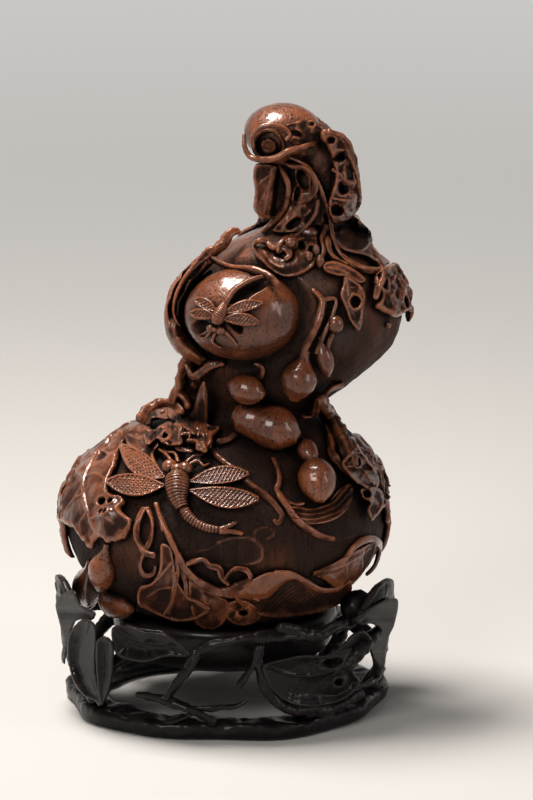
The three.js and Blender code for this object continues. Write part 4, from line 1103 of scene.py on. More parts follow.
make("neck_leaf", [
    plate(HIGH, hi([(474, 690), (517, 679), (564, 707), (612, 681), (655, 645), (717, 635), (765, 659),
        (776, 721), (760, 788), (698, 835), (622, 850), (564, 828), (517, 783), (480, 735)]), lift=0.8,
        thick=1.6, rim=(0.5, 0.8, 0.9), cell=0.36, bump=0.4, form=shoulder_bulge, seed=4,
        holes=bored(hi, (612, 735, 2.2, 1.6, 15), (696, 707, 1.0, 1.5, 20), (747, 731, 0.9, 1.5, 10))),
    vine(HIGH, hi([(477, 702), (502, 681), (540, 690), (574, 713), (612, 685), (636, 666), (665, 673),
        (667, 707), (641, 721)], [3, 3.4, 3.6, 3.8, 4, 4, 3.8, 3.6, 3.4]), [0.8, 1.2, 1.3, 1.1, 0.8],
        flat=0.8, rough=0.05, step=0.25),
    strand(HIGH, hi([(588, 740), (603, 716), (633, 723), (641, 754), (617, 769)], 3.6), [1.0, 1.1, 0.8]),
    bead(HIGH, hi([(648, 690)]), 4.0, (2.0, 2.0, 2.0), 0.1, 4),
    bead(HIGH, hi([(731, 649)]), 3.0, (3.2, 2.2, 2.8), 0.1, 5),
    bead(HIGH, hi([(763, 732)]), 3.2, (1.4, 1.4, 2.6), 0.08, 6),
    bead(HIGH, hi([(731, 754)]), 3.2, (1.5, 1.5, 1.9), 0.08, 7),
    bead(HIGH, hi([(782, 776)]), 2.6, (1.5, 1.4, 2.4), 0.08, 8),
    plate(HIGH, hi([(622, 332), (679, 344), (741, 354), (782, 425), (812, 511), (833, 597), (817, 645),
        (774, 614), (717, 635), (665, 647), (612, 649), (564, 635), (591, 597), (626, 549), (643, 482),
        (637, 406), (623, 368)]), lift=1.6, thick=2.4, rim=(0.6, 0.7, 0.6), cell=0.34, bump=0.9, lumps=3.0,
        seed=9, holes=bored(hi, (704, 401, 1.7, 3.2, 20), (679, 468, 0.8, 1.9, -10),
        (662, 602, 2.6, 1.1, 35), (812, 587, 0.7, 1.7, 15)), veins=[(hi([(622, 349), (679, 511),
        (717, 626)]), 0.6, 0.6), (hi([(736, 358), (765, 473), (717, 568), (660, 635)]), 0.6, 0.7),
        (hi([(765, 473), (803, 549), (827, 626)]), 0.5, 0.6)]),
])
make("mid_vine", [
    strap(HIGH, hi([(745, 900), (790, 950), (785, 1010), (755, 1090), (715, 1170), (700, 1240)],
        [1, 1.4, 1.7, 2.0, 2.4, 3]), [0.9, 1.6, 1.3, 1.3]),
    strap(HIGH, hi([(790, 950), (850, 950), (840, 1010), (800, 1100), (760, 1200)],
        [1.8, 1.4, 1.3, 1.4, 1.7]), [1.0, 0.9]),
    strap(HIGH, hi([(840, 1100), (820, 1150), (815, 1200)], [1.4, 1.4, 1.6]), [0.8, 0.7]),
])
fruit_plane = plane_view(UPPER, 14)
make("fruit_stem_vine", [
    strap(fruit_plane, [(-30.5, 20, 0), (-22.5, 16.5, 10), (-15, 15.5, 17), (-9.5, 13.5, 21), (-6, 10, 24)],
        [1.5, 1.2, 1.3, 1.0]),
    strand(fruit_plane, [(-34, 18, 0), (-30.5, 20, 0), (-28, 23, -1), (-25.5, 25.5, -2), (-23, 28.5, -3),
        (-19.5, 29.5, -6)], [1.4, 1.9, 1.2]),
])
arch_view = plane_view(UPPER, 20)
make("arch_leaf", [
    leaf(arch_view, [(-31, 20), (-39, 12), (-43.5, 1), (-42, -8), (-32, -17.5)], [3, 3.6, 3, 3.4, 3.6, 2.4],
        [1.4, 2.6, 2.8, 2.8, 3.2, 2.2], pairs=7, lift=0, thick=6, edge=1.6, rim=(0.6, 0.7, 0.7), cell=0.4,
        holes=[(-36.8, 15.6, 2.6, 1.0, 38), (-41.2, 8.6, 2.2, 0.9, 62), (-43.6, 2.0, 1.8, 0.8, 86)],
        form=lambda p, d: -2.5 * (1 - smooth(d, 0, 3)), bump=0.4, seed=6),
    plate(arch_view, hi([(76, 1055), (97, 1017), (130, 1055), (166, 1122), (230, 1193), (307, 1238),
        (283, 1267), (204, 1238), (130, 1181), (87, 1122)]), lift=-1.5, thick=3.0, rim=(0.5, 0.6, 0.5),
        bump=0.6, cell=0.36, seed=31, veins=[(hi([(87, 1045), (145, 1150), (278, 1250)]), 0.6, 0.7),
        (hi([(111, 1036), (178, 1141), (288, 1241)]), 0.5, -0.6)]),
    plate(arch_view, hi([(269, 711), (302, 707), (283, 754), (230, 797), (178, 859), (140, 931),
        (124, 1007), (149, 1074), (121, 1055), (106, 988), (126, 902), (164, 835), (216, 769)]), lift=1.5,
        thick=2.4, rim=(0.5, 0.6, 0.6), bump=0.5, cell=0.34, seed=32),
    plate(arch_view, hi([(283, 731), (269, 788), (240, 845), (226, 931), (226, 1026), (240, 1103),
        (269, 1169), (297, 1228), (211, 1217), (135, 1160), (87, 1083), (76, 988), (97, 893), (159, 816),
        (230, 750)]), lift=-5.5, thick=2.4, rim=(0.6, 0.7, 0.9), bump=1.1, lumps=2.6, cell=0.36, tone=0.3,
        seed=37),
    strand(arch_view, hi([(288, 816), (240, 864), (204, 931), (188, 1017), (204, 1103), (250, 1179)],
        [-4, -4, -4, -4, -4, -3]), [0.8, 1.0, 0.9, 0.9]),
    strand(arch_view, hi([(283, 778), (230, 816), (183, 883), (149, 969), (145, 1055), (175, 1136),
        (230, 1207)], [-2, -2, -2.5, -3, -3, -2.5, -2]), [0.8, 1.0, 0.9, 0.9]),
])
strand_view = plane_view(UPPER, 18)
make("waist_strands", [
    plate(strand_view, hi([(149, 1215), (197, 1207), (250, 1236), (269, 1312), (259, 1408), (269, 1475),
        (183, 1470), (106, 1427), (126, 1360), (140, 1293)]), lift=-6, thick=2.4, rim=(0.6, 0.7, 0.6),
        bump=1.2, lumps=2.8, cell=0.4, tone=0.3, ragged=0.5, seed=55),
    strand(strand_view, [(-37, -14, 0), (-40.5, -20.5, -2), (-41.5, -26, -3), (-44, -32, -5)], [2.0, 1.7]),
    strand(strand_view, [(-38.5, -16.5, 0), (-36, -21.5, 2), (-30.5, -18.5, 4), (-24.5, -17, 6)],
        [1.6, 1.4]),
    strand(plane_view(UPPER, 13), [(-55, -38, 8), (-53, -34.5, 4), (-48.5, -31.5, 0), (-43.5, -31.5, 0),
        (-39.5, -35, 6)], [1.9, 1.8]),
    strand(strand_view, [(-42, -27, -3), (-39, -30, -1), (-37.5, -33.5, 1)], [1.4, 1.2]),
])

right_leaf = on_right([(1022, 826), (1065, 799), (1113, 788), (1158, 816), (1180, 883), (1194, 979),
                       (1186, 1053), (1158, 1012), (1103, 1038), (1051, 1012), (1015, 986), (1037, 931),
                       (1011, 883)])
make("shoulder_leaf_right", [
    plate(right_of_upper, right_leaf, lift=2.2, thick=2.2, rim=(0.8, 0.9, 0.9), bump=0.8, lumps=3.2,
        cell=0.38, holes=bored(on_right, (1043, 874, 1.8, 2.4, 15), (1141, 969, 1.1, 1.6)),
        veins=[(on_right([(1079, 807), (1122, 893), (1146, 1007)]), 0.7, 0.8),
        (on_right([(1099, 835), (1060, 931), (1079, 1017)]), 0.6, 0.7),
        (on_right([(1122, 874), (1170, 931), (1184, 1017)]), 0.6, 0.7)], seed=7),
    plate(HIGH, hi([(893, 840), (946, 864), (989, 917), (984, 988), (960, 1093), (917, 1050), (893, 988),
        (872, 931), (884, 883)]), lift=1.5, thick=1.8, rim=(0.6, 0.7, 0.9), cell=0.34, bump=0.6, lumps=2.6,
        holes=bored(hi, (941, 961, 1.6, 1.9, 10)), veins=[(hi([(903, 855), (913, 940), (946, 1064)]), 0.6,
        0.7), (hi([(908, 893), (965, 893)]), 0.4, 0.5)], seed=8),
    plate(HIGH, hi([(793, 788), (841, 773), (893, 788), (946, 816), (994, 864), (965, 878), (908, 850),
        (851, 840), (803, 821)]), lift=1.4, thick=1.6, rim=(0.5, 0.6, 0.8), cell=0.34, bump=0.5, seed=11,
        veins=[(hi([(803, 802), (879, 816), (965, 864)]), 0.5, 0.6)]),
    strand(HIGH, hi([(870, 740), (936, 793), (1003, 814), (1051, 816), (1079, 788)],
        [1.8, 1.8, 2, 2.2, 2.4]), [0.9, 1.2, 1.4, 1.2]),
    strand(HIGH, hi([(1013, 740), (1051, 778), (1070, 835), (1051, 893), (1032, 950)],
        [1, 1.8, 3.4, 3.6, 3.4]), [1.0, 1.3, 1.1]),
    bead(HIGH, hi([(852, 1062)]), 1.6, (3.0, 2.8, 3.2), 0.03, 9),
    bead(HIGH, hi([(1094, 1064)]), 1.0, (1.0, 1.0, 1.2), 0.03, 12),
])
make("back_leaf_upper", [
    leaf(rear_of_upper, [(-6, 26), (8, 20), (18, 9), (22, -6)], [2, 7, 9, 7, 8, 5, 2],
        [2, 7, 9, 7, 8, 5, 2], pairs=5, lobes=0.15, teeth=9, lift=1.5, rim=(0.8, 0.9, 0.6), bump=0.4,
        holes=[(10, 14, 1.4, 1.0), (16, 3, 1.0, 1.6)], seed=10),
])

make("large_dragonfly", dragonfly(
    LOW, 4.2,
    body=lo([(555, 300), (557, 350), (560, 400), (575, 440)], [4.2, 4.2, 3.8, 3.2]),
    eyes=lo([(525, 275), (588, 285)], [3.6, 3.6]),
    wing_lift=3.0,
    wings=[(*lo(ends), width, bow) for ends, width, bow in (
        ([(505, 320), (318, 185)], 4.0, -1.5), ([(505, 350), (262, 335)], 3.9, -0.6),
        ([(605, 335), (852, 300)], 3.2, 0.8), ([(605, 370), (892, 405)], 3.7, -1.0))],
    tail=lo([(575, 440), (610, 485), (665, 520), (735, 535)], [3.0, 2.4, 2.2, 2.0]),
    legs=[lo([(545, 270), (510, 225), (475, 200), (470, 170)], [2.6, 2.6, 2.2, 1.6]),
          lo([(560, 260), (545, 220), (510, 215), (500, 195)], [2.6, 2.8, 2.4, 1.8]),
          lo([(600, 270), (640, 250), (665, 270), (690, 260)], [2.6, 2.8, 2.4, 1.8]),
          lo([(590, 260), (620, 235), (650, 225), (670, 205)], [2.6, 2.8, 2.4, 1.8])],
    fork=[lo([(725, 535), (765, 520), (800, 500)], [2.0, 1.8, 1.6]),
          lo([(725, 537), (775, 540), (828, 550)], [2.0, 1.8, 1.6])]))

seen_edge = on_left_shoulder([(463, 118), (427, 163), (360, 186), (329, 256), (293, 328), (290, 389),
    (355, 420), (352, 470), (383, 505), (376, 554), (341, 590), (296, 603), (249, 583), (218, 626),
    (183, 590), (136, 542), (85, 523)])
far_edge = on_left_shoulder([(74, 451), (70, 359), (85, 276), (124, 199), (185, 141), (267, 108),
    (360, 102)])
far_edge = far_edge + np.column_stack([np.linspace(-5, -9, 7) * np.array([1, 0.6, 1.1, 0.6, 1.1, 0.6, 0.5]),
                                       np.linspace(-2, 5, 7)])
scroll = [on_left_shoulder(line) for line in (
    [(370, 122), (293, 186), (226, 271), (185, 348), (190, 431), (216, 508), (255, 580)],
    [(193, 333), (144, 307), (103, 312)], [(185, 400), (144, 431), (108, 492)],
    [(242, 251), (185, 215), (134, 215)], [(314, 169), (262, 138), (206, 138)],
    [(204, 477), (175, 523), (183, 574)], [(206, 328), (252, 323), (283, 348)],
    [(262, 225), (303, 246), (319, 271)], [(216, 508), (267, 492), (329, 533)],
    [(329, 148), (381, 163), (417, 148)])]
leaf_holes = bored(on_left_shoulder, (263, 431, 1.5, 1.2), (300, 431, 1.0, 0.9), (267, 478, 1.0, 0.9),
                   (293, 482, 0.8, 0.7), (142, 271, 0.8, 1.3), (118, 312, 0.6, 0.9), (111, 384, 1.7, 2.6),
                   (358, 456, 1.2, 1.5), (98, 492, 1.0, 1.3))


def polished_lobe(p, d):
    gap = np.linalg.norm(p - on_left_shoulder([(303, 513)]), axis=1)
    return 3.2 * (1 - smooth(gap, 1.0, 8.5))


make("shoulder_leaf_left", [
    plate(left_shoulder, np.vstack([seen_edge, far_edge]), lift=2.0, thick=1.8, cell=0.4,
        rim=(0.7, 0.8, 0.7), bump=0.5, lumps=5, ragged=0.5, holes=leaf_holes, form=polished_lobe,
        tone=0.68, seed=12, veins=[(scroll[0], 0.75, 0.9)] + [(line, 0.55, 0.7) for line in scroll[1:]]),
    plate(LOW, lo([(329, 127), (375, 110), (432, 114), (473, 138), (483, 186), (458, 225), (471, 266),
        (427, 256), (381, 215), (348, 186)]), lift=2.2, thick=1.8, rim=(0.6, 0.7, 0.7), bump=0.6, lumps=3,
        cell=0.36, ragged=0.3, seed=36, veins=[(lo([(339, 138), (401, 163), (463, 225)]), 0.6, 0.7),
        (lo([(391, 158), (432, 138)]), 0.5, 0.6)]),
])

blossom = carried(top_shoulder, LOW, [(-25, 33), (-18, 34.5), (-10, 33.5), (-5.5, 28)])
blossom_holes = bored(on_top_shoulder, (500, 75, 1.5, 1.7), (575, 145, 1.3, 1.6), (590, 185, 1.1, 1.0),
                      (470, 130, 0.8, 0.8))
make("crumpled_blossom", [
    leaf(top_shoulder, blossom, [1.5, 7, 10, 9, 5, 1.5], [1.5, 3, 4.4, 5, 4, 1.5], pairs=4, lobes=0.3,
        teeth=9, lift=2.6, thick=2.8, rim=(0.7, 0.7, 1.0), bump=1.5, lumps=2.6, cell=0.36,
        holes=blossom_holes, seed=13),
    plate(LOW, lo([(516, 11), (576, 28), (635, 71), (684, 120), (697, 176), (668, 217), (629, 199),
        (635, 155), (596, 127), (555, 104), (522, 66)]), lift=4.2, thick=2.0, rim=(0.6, 0.7, 1.0),
        bump=1.2, lumps=2.4, cell=0.34, ragged=0.5, seed=33, holes=bored(lo, (581, 71, 0.9, 0.7),
        (648, 158, 0.9, 1.3, 20))),
    plate(LOW, lo([(403, 73), (452, 22), (504, 5), (537, 40), (522, 83), (465, 73), (434, 107)]), lift=3.4,
        thick=2.0, rim=(0.6, 0.7, 1.0), bump=1.2, lumps=2.4, cell=0.34, ragged=0.5, seed=34,
        holes=bored(lo, (494, 48, 0.9, 0.7))),
    plate(LOW, lo([(455, 122), (504, 93), (566, 100), (584, 138), (566, 186), (514, 192), (468, 163),
        (432, 186), (417, 148)]), lift=3.8, thick=2.0, rim=(0.6, 0.7, 1.0), bump=1.1, lumps=2.4, cell=0.34,
        ragged=0.5, seed=35, holes=bored(lo, (581, 145, 1.0, 1.4), (504, 148, 1.2, 0.8, 30))),
    strap(LOW, lo([(690, 200), (740, 250), (800, 300), (850, 345), (920, 395), (965, 440), (985, 475),
        (970, 505), (950, 490)], 0.8), [1.3, 1.5, 1.2, 0.8], flat=0.8),
    strand(LOW, lo([(560, 60), (600, 90), (640, 80), (660, 120), (640, 160)], 3.4), [1.12, 1.28]),
    strand(LOW, lo([(440, 60), (420, 110), (450, 150), (430, 190)], 3.0), [1.2, 0.96]),
    strand(LOW, lo([(540, 110), (560, 200), (620, 215)], 3.4), [0.96, 0.8]),
])
make("waist_vine", [
    strap(LOW, lo([(950, 235), (972, 290), (975, 340), (965, 370), (1000, 425), (1045, 490), (1110, 540),
        (1160, 565), (1205, 572)], 1.2), [0.8, 1.1, 1.5, 1.3, 0.8]),
    strap(LOW, lo([(965, 365), (985, 400), (1040, 430), (1080, 425)], 1.1), [0.9, 0.7]),
])
make("waist_trunk", [
    vine(LOW, [(33.5, 48, 5), (37.5, 41, 3.6), (40.5, 35.5, 3), (43, 30, 3), (45.5, 23, 3)],
        [1.9, 2.7, 2.9, 2.3], rough=0.12, ridges=5, depth=0.12, twist=0.1, step=0.3),
    strand(LOW, [(27, 41.5, 3.5), (31, 42, 4), (33.5, 46.5, 4), (37, 51, 2), (42, 53, 1)], [1.2, 1.1]),
    strand(LOW, lo([(1170, 90), (1190, 160), (1200, 230), (1250, 290), (1300, 330)], 1.8), [0.9, 1.4, 1.1]),
])
cluster = carried(right_shoulder, LOW, [(45, 29), (49, 23), (52, 16), (52, 8)])
make("shoulder_cluster_right", [
    leaf(right_shoulder, cluster, [1.5, 6, 7.5, 8, 6, 2], [1.5, 3, 3.5, 4, 3, 1.5], pairs=4, lobes=0.3,
        teeth=9, lift=2.2, thick=2.8, rim=(0.7, 0.7, 0.9), bump=1.4, lumps=2.6, cell=0.38,
        holes=bored(on_right_shoulder, (1335, 385, 1.2, 1.2)), seed=15),
    plate(LOW, lo([(1234, 261), (1266, 217), (1300, 180), (1324, 225), (1359, 271), (1390, 328),
        (1372, 371), (1328, 361), (1280, 330), (1254, 299)]), lift=3.2, thick=2.0, rim=(0.5, 0.6, 1.1),
        bump=0.8, lumps=2.6, cell=0.32, ragged=0.4, seed=52, veins=[(lo([(1249, 276), (1306, 276),
        (1367, 348)]), 0.5, 0.8)], holes=bored(lo, (1295, 256, 0.9, 1.2, 30))),
    plate(LOW, lo([(1311, 369), (1357, 357), (1400, 379), (1406, 431), (1386, 472), (1357, 498),
        (1340, 461), (1347, 422), (1318, 400)]), lift=2.8, thick=2.0, rim=(0.5, 0.6, 1.0), bump=0.8,
        lumps=2.6, cell=0.32, ragged=0.3, seed=53, holes=bored(lo, (1336, 389, 1.1, 1.0))),
    strand(LOW, lo([(1290, 190), (1340, 230), (1390, 260), (1415, 330), (1420, 400)], 2.4),
        [1.12, 1.28, 0.96]),
])


def pleats(p, d):
    gap, where = segment_distance(p, FAN_RIB)
    side = np.sign((p[:, 1] - np.interp(p[:, 0], FAN_RIB[:, 0], FAN_RIB[:, 1])))
    return 0.5 * np.cos(gap * side * 3.4 + where * 2 + 0.6 * noise(np.column_stack([p, 0 * gap]), 2.0))


FAN_RIB = spline(lo([(1023, 461), (1110, 467), (1203, 436), (1270, 359)]), 40)
make("fan_leaf", [
    plate(LOW, lo([(1007, 443), (1049, 436), (1110, 446), (1172, 420), (1218, 369), (1270, 343),
        (1280, 384), (1259, 446), (1203, 492), (1131, 511), (1059, 503), (1018, 477)]), lift=1.4,
        thick=1.8, rim=(0.4, 0.5, 0.3), form=pleats, cell=0.28, seed=16),
])

make("main_vine", [
    vine(LOW, lo([(470, 420), (485, 470), (510, 530), (550, 620), (575, 670), (620, 730), (680, 770),
        (740, 790), (810, 765), (870, 735)], [2, 2, 2, 2, 2.1, 2.1, 2.1, 2, 2, 2]),
        [1.0, 1.1, 1.3, 1.5, 1.7, 1.7, 1.3], rough=0.06, ridges=2, depth=0.12, twist=0.1, step=0.3,
        knots=0.08),
    strand(LOW, lo([(585, 680), (620, 665), (665, 655), (690, 680), (725, 690), (740, 730), (770, 760)],
        2.0), [0.79, 0.94, 0.86]),
    strand(LOW, lo([(745, 745), (770, 710), (800, 690), (840, 700), (860, 735)], 1.8), [0.72, 0.86]),
    strand(LOW, lo([(545, 600), (560, 700), (545, 770), (530, 840), (500, 890)], 2.2), [0.86, 0.79, 0.65]),
    strand(LOW, lo([(560, 650), (590, 740), (600, 810), (650, 830), (690, 860)], 2.0), [0.94, 0.79, 0.72]),
    strand(LOW, lo([(700, 790), (760, 805), (830, 800), (895, 822)], 1.8), [0.86, 0.79, 0.6]),
])
make("loop_vines", [
    strand(LOW, lo([(425, 440), (395, 500), (390, 570), (420, 620), (470, 640)], [1.6, 2, 2.2, 2.2, 2]),
        [1.08, 1.22, 1.15]),
    strand(LOW, lo([(430, 440), (455, 500), (450, 570), (425, 620)], [1.6, 1.8, 1.8, 2.2]), [0.94, 0.86]),
    strand(LOW, lo([(425, 620), (405, 680), (425, 720), (455, 715), (470, 680)], [2.2, 1.8, 1.6, 1.4, 1.4]),
        [0.94, 0.86, 0.72]),
    strand(LOW, lo([(465, 420), (485, 480), (500, 540)], 2.4), [0.72, 0.79]),
])
make("curled_leaf", [
    plate(LOW, lo([(490, 590), (530, 600), (545, 660), (560, 740), (600, 800), (640, 830), (690, 865),
        (640, 900), (560, 915), (500, 900), (440, 870), (395, 845), (400, 770), (450, 750), (480, 700),
        (485, 640)]), lift=1.4, thick=1.6, rim=(0.5, 0.6, 0.8), cell=0.35, bump=0.3,
        veins=[(lo([(535, 554), (540, 636), (547, 770), (522, 878)]), 0.7, 1.1),
        (lo([(555, 636), (584, 698), (619, 795), (689, 867)]), 0.7, 1.0),
        (lo([(535, 667), (473, 739), (403, 785)]), 0.6, 0.9), (lo([(545, 770), (483, 780), (432, 811)]),
        0.5, 0.6), (lo([(596, 739), (581, 821)]), 0.5, 0.6), (lo([(612, 790), (637, 873)]), 0.5, 0.6)],
        tone=0.4, seed=18),
    plate(LOW, lo([(600, 690), (640, 760), (720, 800), (770, 830), (760, 900), (700, 950), (640, 930),
        (610, 860), (600, 780)]), lift=1.0, thick=1.4, rim=(0.5, 0.6, 0.6), cell=0.4, bump=0.5,
        veins=[(lo([(620, 720), (670, 820), (700, 920)]), 0.6, 0.5)], seed=19),
])

wavy_top = [(780, 790), (830, 775), (880, 740), (950, 712), (1020, 716), (1080, 745), (1150, 782),
    (1220, 775), (1268, 742)]
wavy_low = [(1275, 790), (1240, 835), (1180, 865), (1100, 885), (1000, 895), (900, 890), (820, 850)]
hatch = [(lo([(900 + 17 * i, 874 - 2 * i), (955 + 18 * i, 806 + 2 * i), (1015 + 15 * i, 760 + 4 * i)]),
    0.28, -0.45) for i in range(14)]
make("wavy_leaf", [
    plate(LOW, lo(wavy_top + wavy_low), lift=1.3, thick=1.6, rim=(0.6, 0.8, 0.5), cell=0.25, bump=0.3,
        veins=hatch, tone=0.42, seed=20),
    plate(LOW, lo([(730, 799), (794, 776), (868, 733), (936, 706), (999, 710), (1054, 735), (1010, 745),
        (970, 776), (931, 813), (874, 821), (802, 813)]), lift=1.6, thick=2.8, edge=2.2,
        rim=(0.4, 0.5, 0.2), cell=0.3, bump=0.2, tone=0.95, seed=38),
    vine(LOW, lifted(lo(wavy_top)[3:], [2.0, 1.8, 1.8, 1.8, 1.6, 1.4]), [1.4, 1.1, 1.0, 1.1, 1.0],
        flat=0.75, rough=0.05, step=0.3, tone=0.95),
    plate(LOW, lo([(770, 830), (830, 820), (880, 850), (900, 900), (820, 930), (760, 900)]), lift=1.2,
        thick=1.8, rim=(0.5, 0.6, 0.6), cell=0.4, bump=1.0, lumps=2.4,
        holes=bored(lo, (830, 875, 1.2, 0.8)), seed=21),
])
rim_rib = carried(right_shoulder, LOW, [(30, -14.5), (38, -13), (46, -9), (52, -4)])
make("rim_leaf_right", [
    leaf(right_shoulder, rim_rib, [0.8, 2, 3, 3, 2.4, 1], [0.8, 2.6, 6, 8, 7, 3], pairs=3, lift=0.9,
        tone=0.45, rim=(0.6, 0.8, 0.4), cell=0.42, seed=22),
    vine(LOW, lo([(1130, 725), (1190, 700), (1240, 660), (1285, 605), (1335, 576), (1376, 584), (1390, 625),
        (1372, 688), (1335, 728)], 1.0), [0.8, 1.3, 1.6, 1.4, 0.9], flat=0.8, rough=0.05, step=0.3,
        tone=0.9),
])
for node, view, rib, left, right, seed in (
    ("side_leaf_right", right_side, [(-14, 22), (-2, 16), (8, 4), (12, -10), (8, -20)],
     [2, 9, 12, 10, 12, 8, 2], [2, 8, 12, 9, 11, 7, 2], 23),
    ("side_leaf_left", left_side, [(-14, 6), (-2, 2), (8, -8), (12, -20)],
     [2, 7, 10, 8, 8, 2], [2, 7, 10, 8, 8, 2], 24),
    ("back_leaf_low", rear, [(8, 28), (20, 25), (31, 17), (38, 4)],
     [2, 8, 10, 9, 10, 6, 2], [2, 7, 10, 8, 9, 6, 2], 25),
):
    x, y = np.asarray(rib[1]) + [2, -3]
    holes = [(x, y, 1.4, 1.0), (x + 3, y - 1, 0.9, 1.3)]
    make(node, [leaf(view, rib, left, right, pairs=5, lobes=0.16, teeth=9, lift=1.4, rim=(0.8, 0.9, 0.6),
                     bump=0.4, holes=holes, seed=seed)])
make("back_vine", [
    strand(rear, [(-38, 16, 1), (-26, 22, 2), (-14, 18, 2.4), (-4, 8, 2.4), (6, 2, 2.4), (18, 2, 2),
        (30, 8, 1)], [1.5, 2.4, 2.2, 1.5]),
    strand(rear, [(-4, 8, 2.4), (-2, -4, 2.2), (5, -12, 2), (14, -14, 1.6), (20, -9, 1)], [1.5, 1.3]),
    strand(rear, [(-14, 18, 2.4), (-9, 28, 2), (-8, 38, 2)], [1.5, 1.3]),
])

STAND = dict(material=WOOD, body="stand", slot="dark_hardwood")


def foot_ring():
    """A rounded ring whose edge waves in and out, uneven on top and flat underneath."""
    sides, rows, middle = 420, 48, 50
    a = np.linspace(0, 2 * math.pi, sides, endpoint=False)
    wave = 1.4 * np.sin(5 * a + 0.6) + 0.9 * np.sin(9 * a)
    b = np.linspace(0, 2 * math.pi, rows, endpoint=False)
    half, tall = 6.5, 3.5
    out = np.sign(np.cos(b)) * np.abs(np.cos(b)) ** 0.55 * half
    up = np.sign(np.sin(b)) * np.abs(np.sin(b)) ** 0.55 * tall + tall
    share = np.where(out > 0, 1.0, 0.5)
    r = middle + out[:, None] + wave[None] * share[:, None]
    p = np.stack([r * np.cos(a), r * np.sin(a), up[:, None] * np.ones(sides)], -1).reshape(-1, 3)
    high = np.clip((p[:, 2] - 1) / 4, 0, 1)
    p[:, 2] += high * (0.9 * noise(p, 7, 3, 30) - 0.3)
    p[:, :2] *= (1 + high * 0.012 * noise(p, 6, 3, 31))[:, None]
    faces = sheet_faces(rows, sides)
    j = np.arange(sides)
    last = np.stack([(rows - 1) * sides + j, (rows - 1) * sides + (j + 1) % sides, (j + 1) % sides, j], -1)
    return p, np.vstack([faces, last]), np.full(len(p), 0.6)


def seat_dish():
    """A dish whose hollow follows the bottom of the gourd."""
    outer = [(0.1, 19), (20, 19), (31, 19.2), (36.5, 22), (39, 27), (39.8, 32), (39.4, 35), (38.6, 35.9)]
    z = np.linspace(35.7, GOURD_BOTTOM + 0.6, 24)
    inner = [(float(lobe(h, LOWER_CENTRE, LOWER_HALF, LOWER_RADIUS)) + 0.25, h) for h in z if h < 35.8]
    inner = [q for q in inner if q[0] < 37.6] + [(0.1, GOURD_BOTTOM - 0.3)]
    return turned_piece(outer + inner, np.array([0, 0, 1.0]), np.zeros(3), sides=160, tone=0.5, rough=0.0)


def about(turn, radius, z):
    """A place round the stand: degrees to the right of the front, radius and height."""
    a = math.radians(turn)
    return np.array([radius * math.sin(a), -radius * math.cos(a), z])


TWIG = dict(rough=0.05, ridges=2, depth=0.16, twist=0.3, step=0.4, sides=24, knots=0.16)


def twig(points, lift, radii):
    return vine(FRONT, low(points, lift), radii, **TWIG)


def wood_leaf(outline, ribs, lift=1.4, seed=0, **more):
    """A waxed leaf of the stand as the front shows it: a hollowed blade with a fine raised rib."""
    settings = dict(thick=2.2, rim=(0.4, 0.5, 0.5), bump=0.5, lumps=7, cell=0.42,
                    form=lambda p, d: 1.6 - 2.4 * smooth(d, 0, 5))
    settings.update(more)
    veins = [(low(line), 0.5, 0.7 if k == 0 else 0.35) for k, line in enumerate(ribs)]
    return plate(FRONT, low(outline), lift=lift, veins=veins, seed=seed, **settings)


def stand_leaf(view, rib, left, right, seed=0, **more):
    """A leaf of the stand, built on a midrib."""
    settings = dict(lift=1.2, thick=2.2, rim=(0.6, 0.8, 0.9), bump=0.3, lumps=6, cell=0.5, lobes=0.05,
                    teeth=5, form=lambda p, d: -1.4 * (1 - smooth(d, 0, 4)))
    settings.update(more)
    return leaf(view, rib, left, right, pairs=5, vein=(0.5, 0.4), seed=seed, **settings)


make("foot_ring", [foot_ring()], **STAND)
make("seat_dish", [seat_dish()], **STAND)
make("stand_bud", [fruit_between(about(60, 50, 36), about(66, 54, 46), 5.4, ROUND)], **STAND)
for number, (start, end) in enumerate([(-62, -40), (86, 104), (136, 118), (172, 192), (-118, -136)], 1):
    route = [(0, 51, 4), (0.25, 55, 15), (0.5, 52, 22), (0.8, 44, 27), (1, 37, 24)]
    points = [about(start + (end - start) * t, r, z) for t, r, z in route]
    make(f"stand_branch_{number}", [tube(points, [3.9, 2.6, 2.6, 3.1], **TWIG)], **STAND)

make("stand_leaf_ringed", [
    wood_leaf([(888, 425), (960, 400), (1060, 382), (1140, 385), (1210, 345), (1255, 300), (1300, 285),
        (1345, 335), (1300, 400), (1262, 450), (1290, 500), (1235, 565), (1110, 600), (1000, 588),
        (932, 540), (896, 480)], [[(900, 430), (1040, 470), (1180, 450), (1330, 320)],
        [(1040, 470), (1000, 560)], [(1120, 465), (1130, 585)], [(1000, 460), (1080, 400)]], seed=40,
        holes=bored(low, (1170, 418, 3.4, 1.5, 18), (1198, 500, 1.5, 1.2, 30))),
    twig([(878, 335), (866, 400), (884, 480), (930, 560), (1010, 610), (1110, 614), (1210, 588),
        (1300, 545)], [0.6, 1.2, 2, 2.6, 2.8, 2.8, 2.4, 1.6], [1.6, 2.0, 2.4, 2.0, 1.4]),
    twig([(1165, 448), (1215, 428), (1290, 360), (1365, 285)], [2.4, 2.8, 2.6, 1.8], [1.8, 2.6, 2.0]),
    twig([(1000, 520), (1030, 575), (1085, 578)], 1.8, [0.7, 0.9]),
], **STAND)
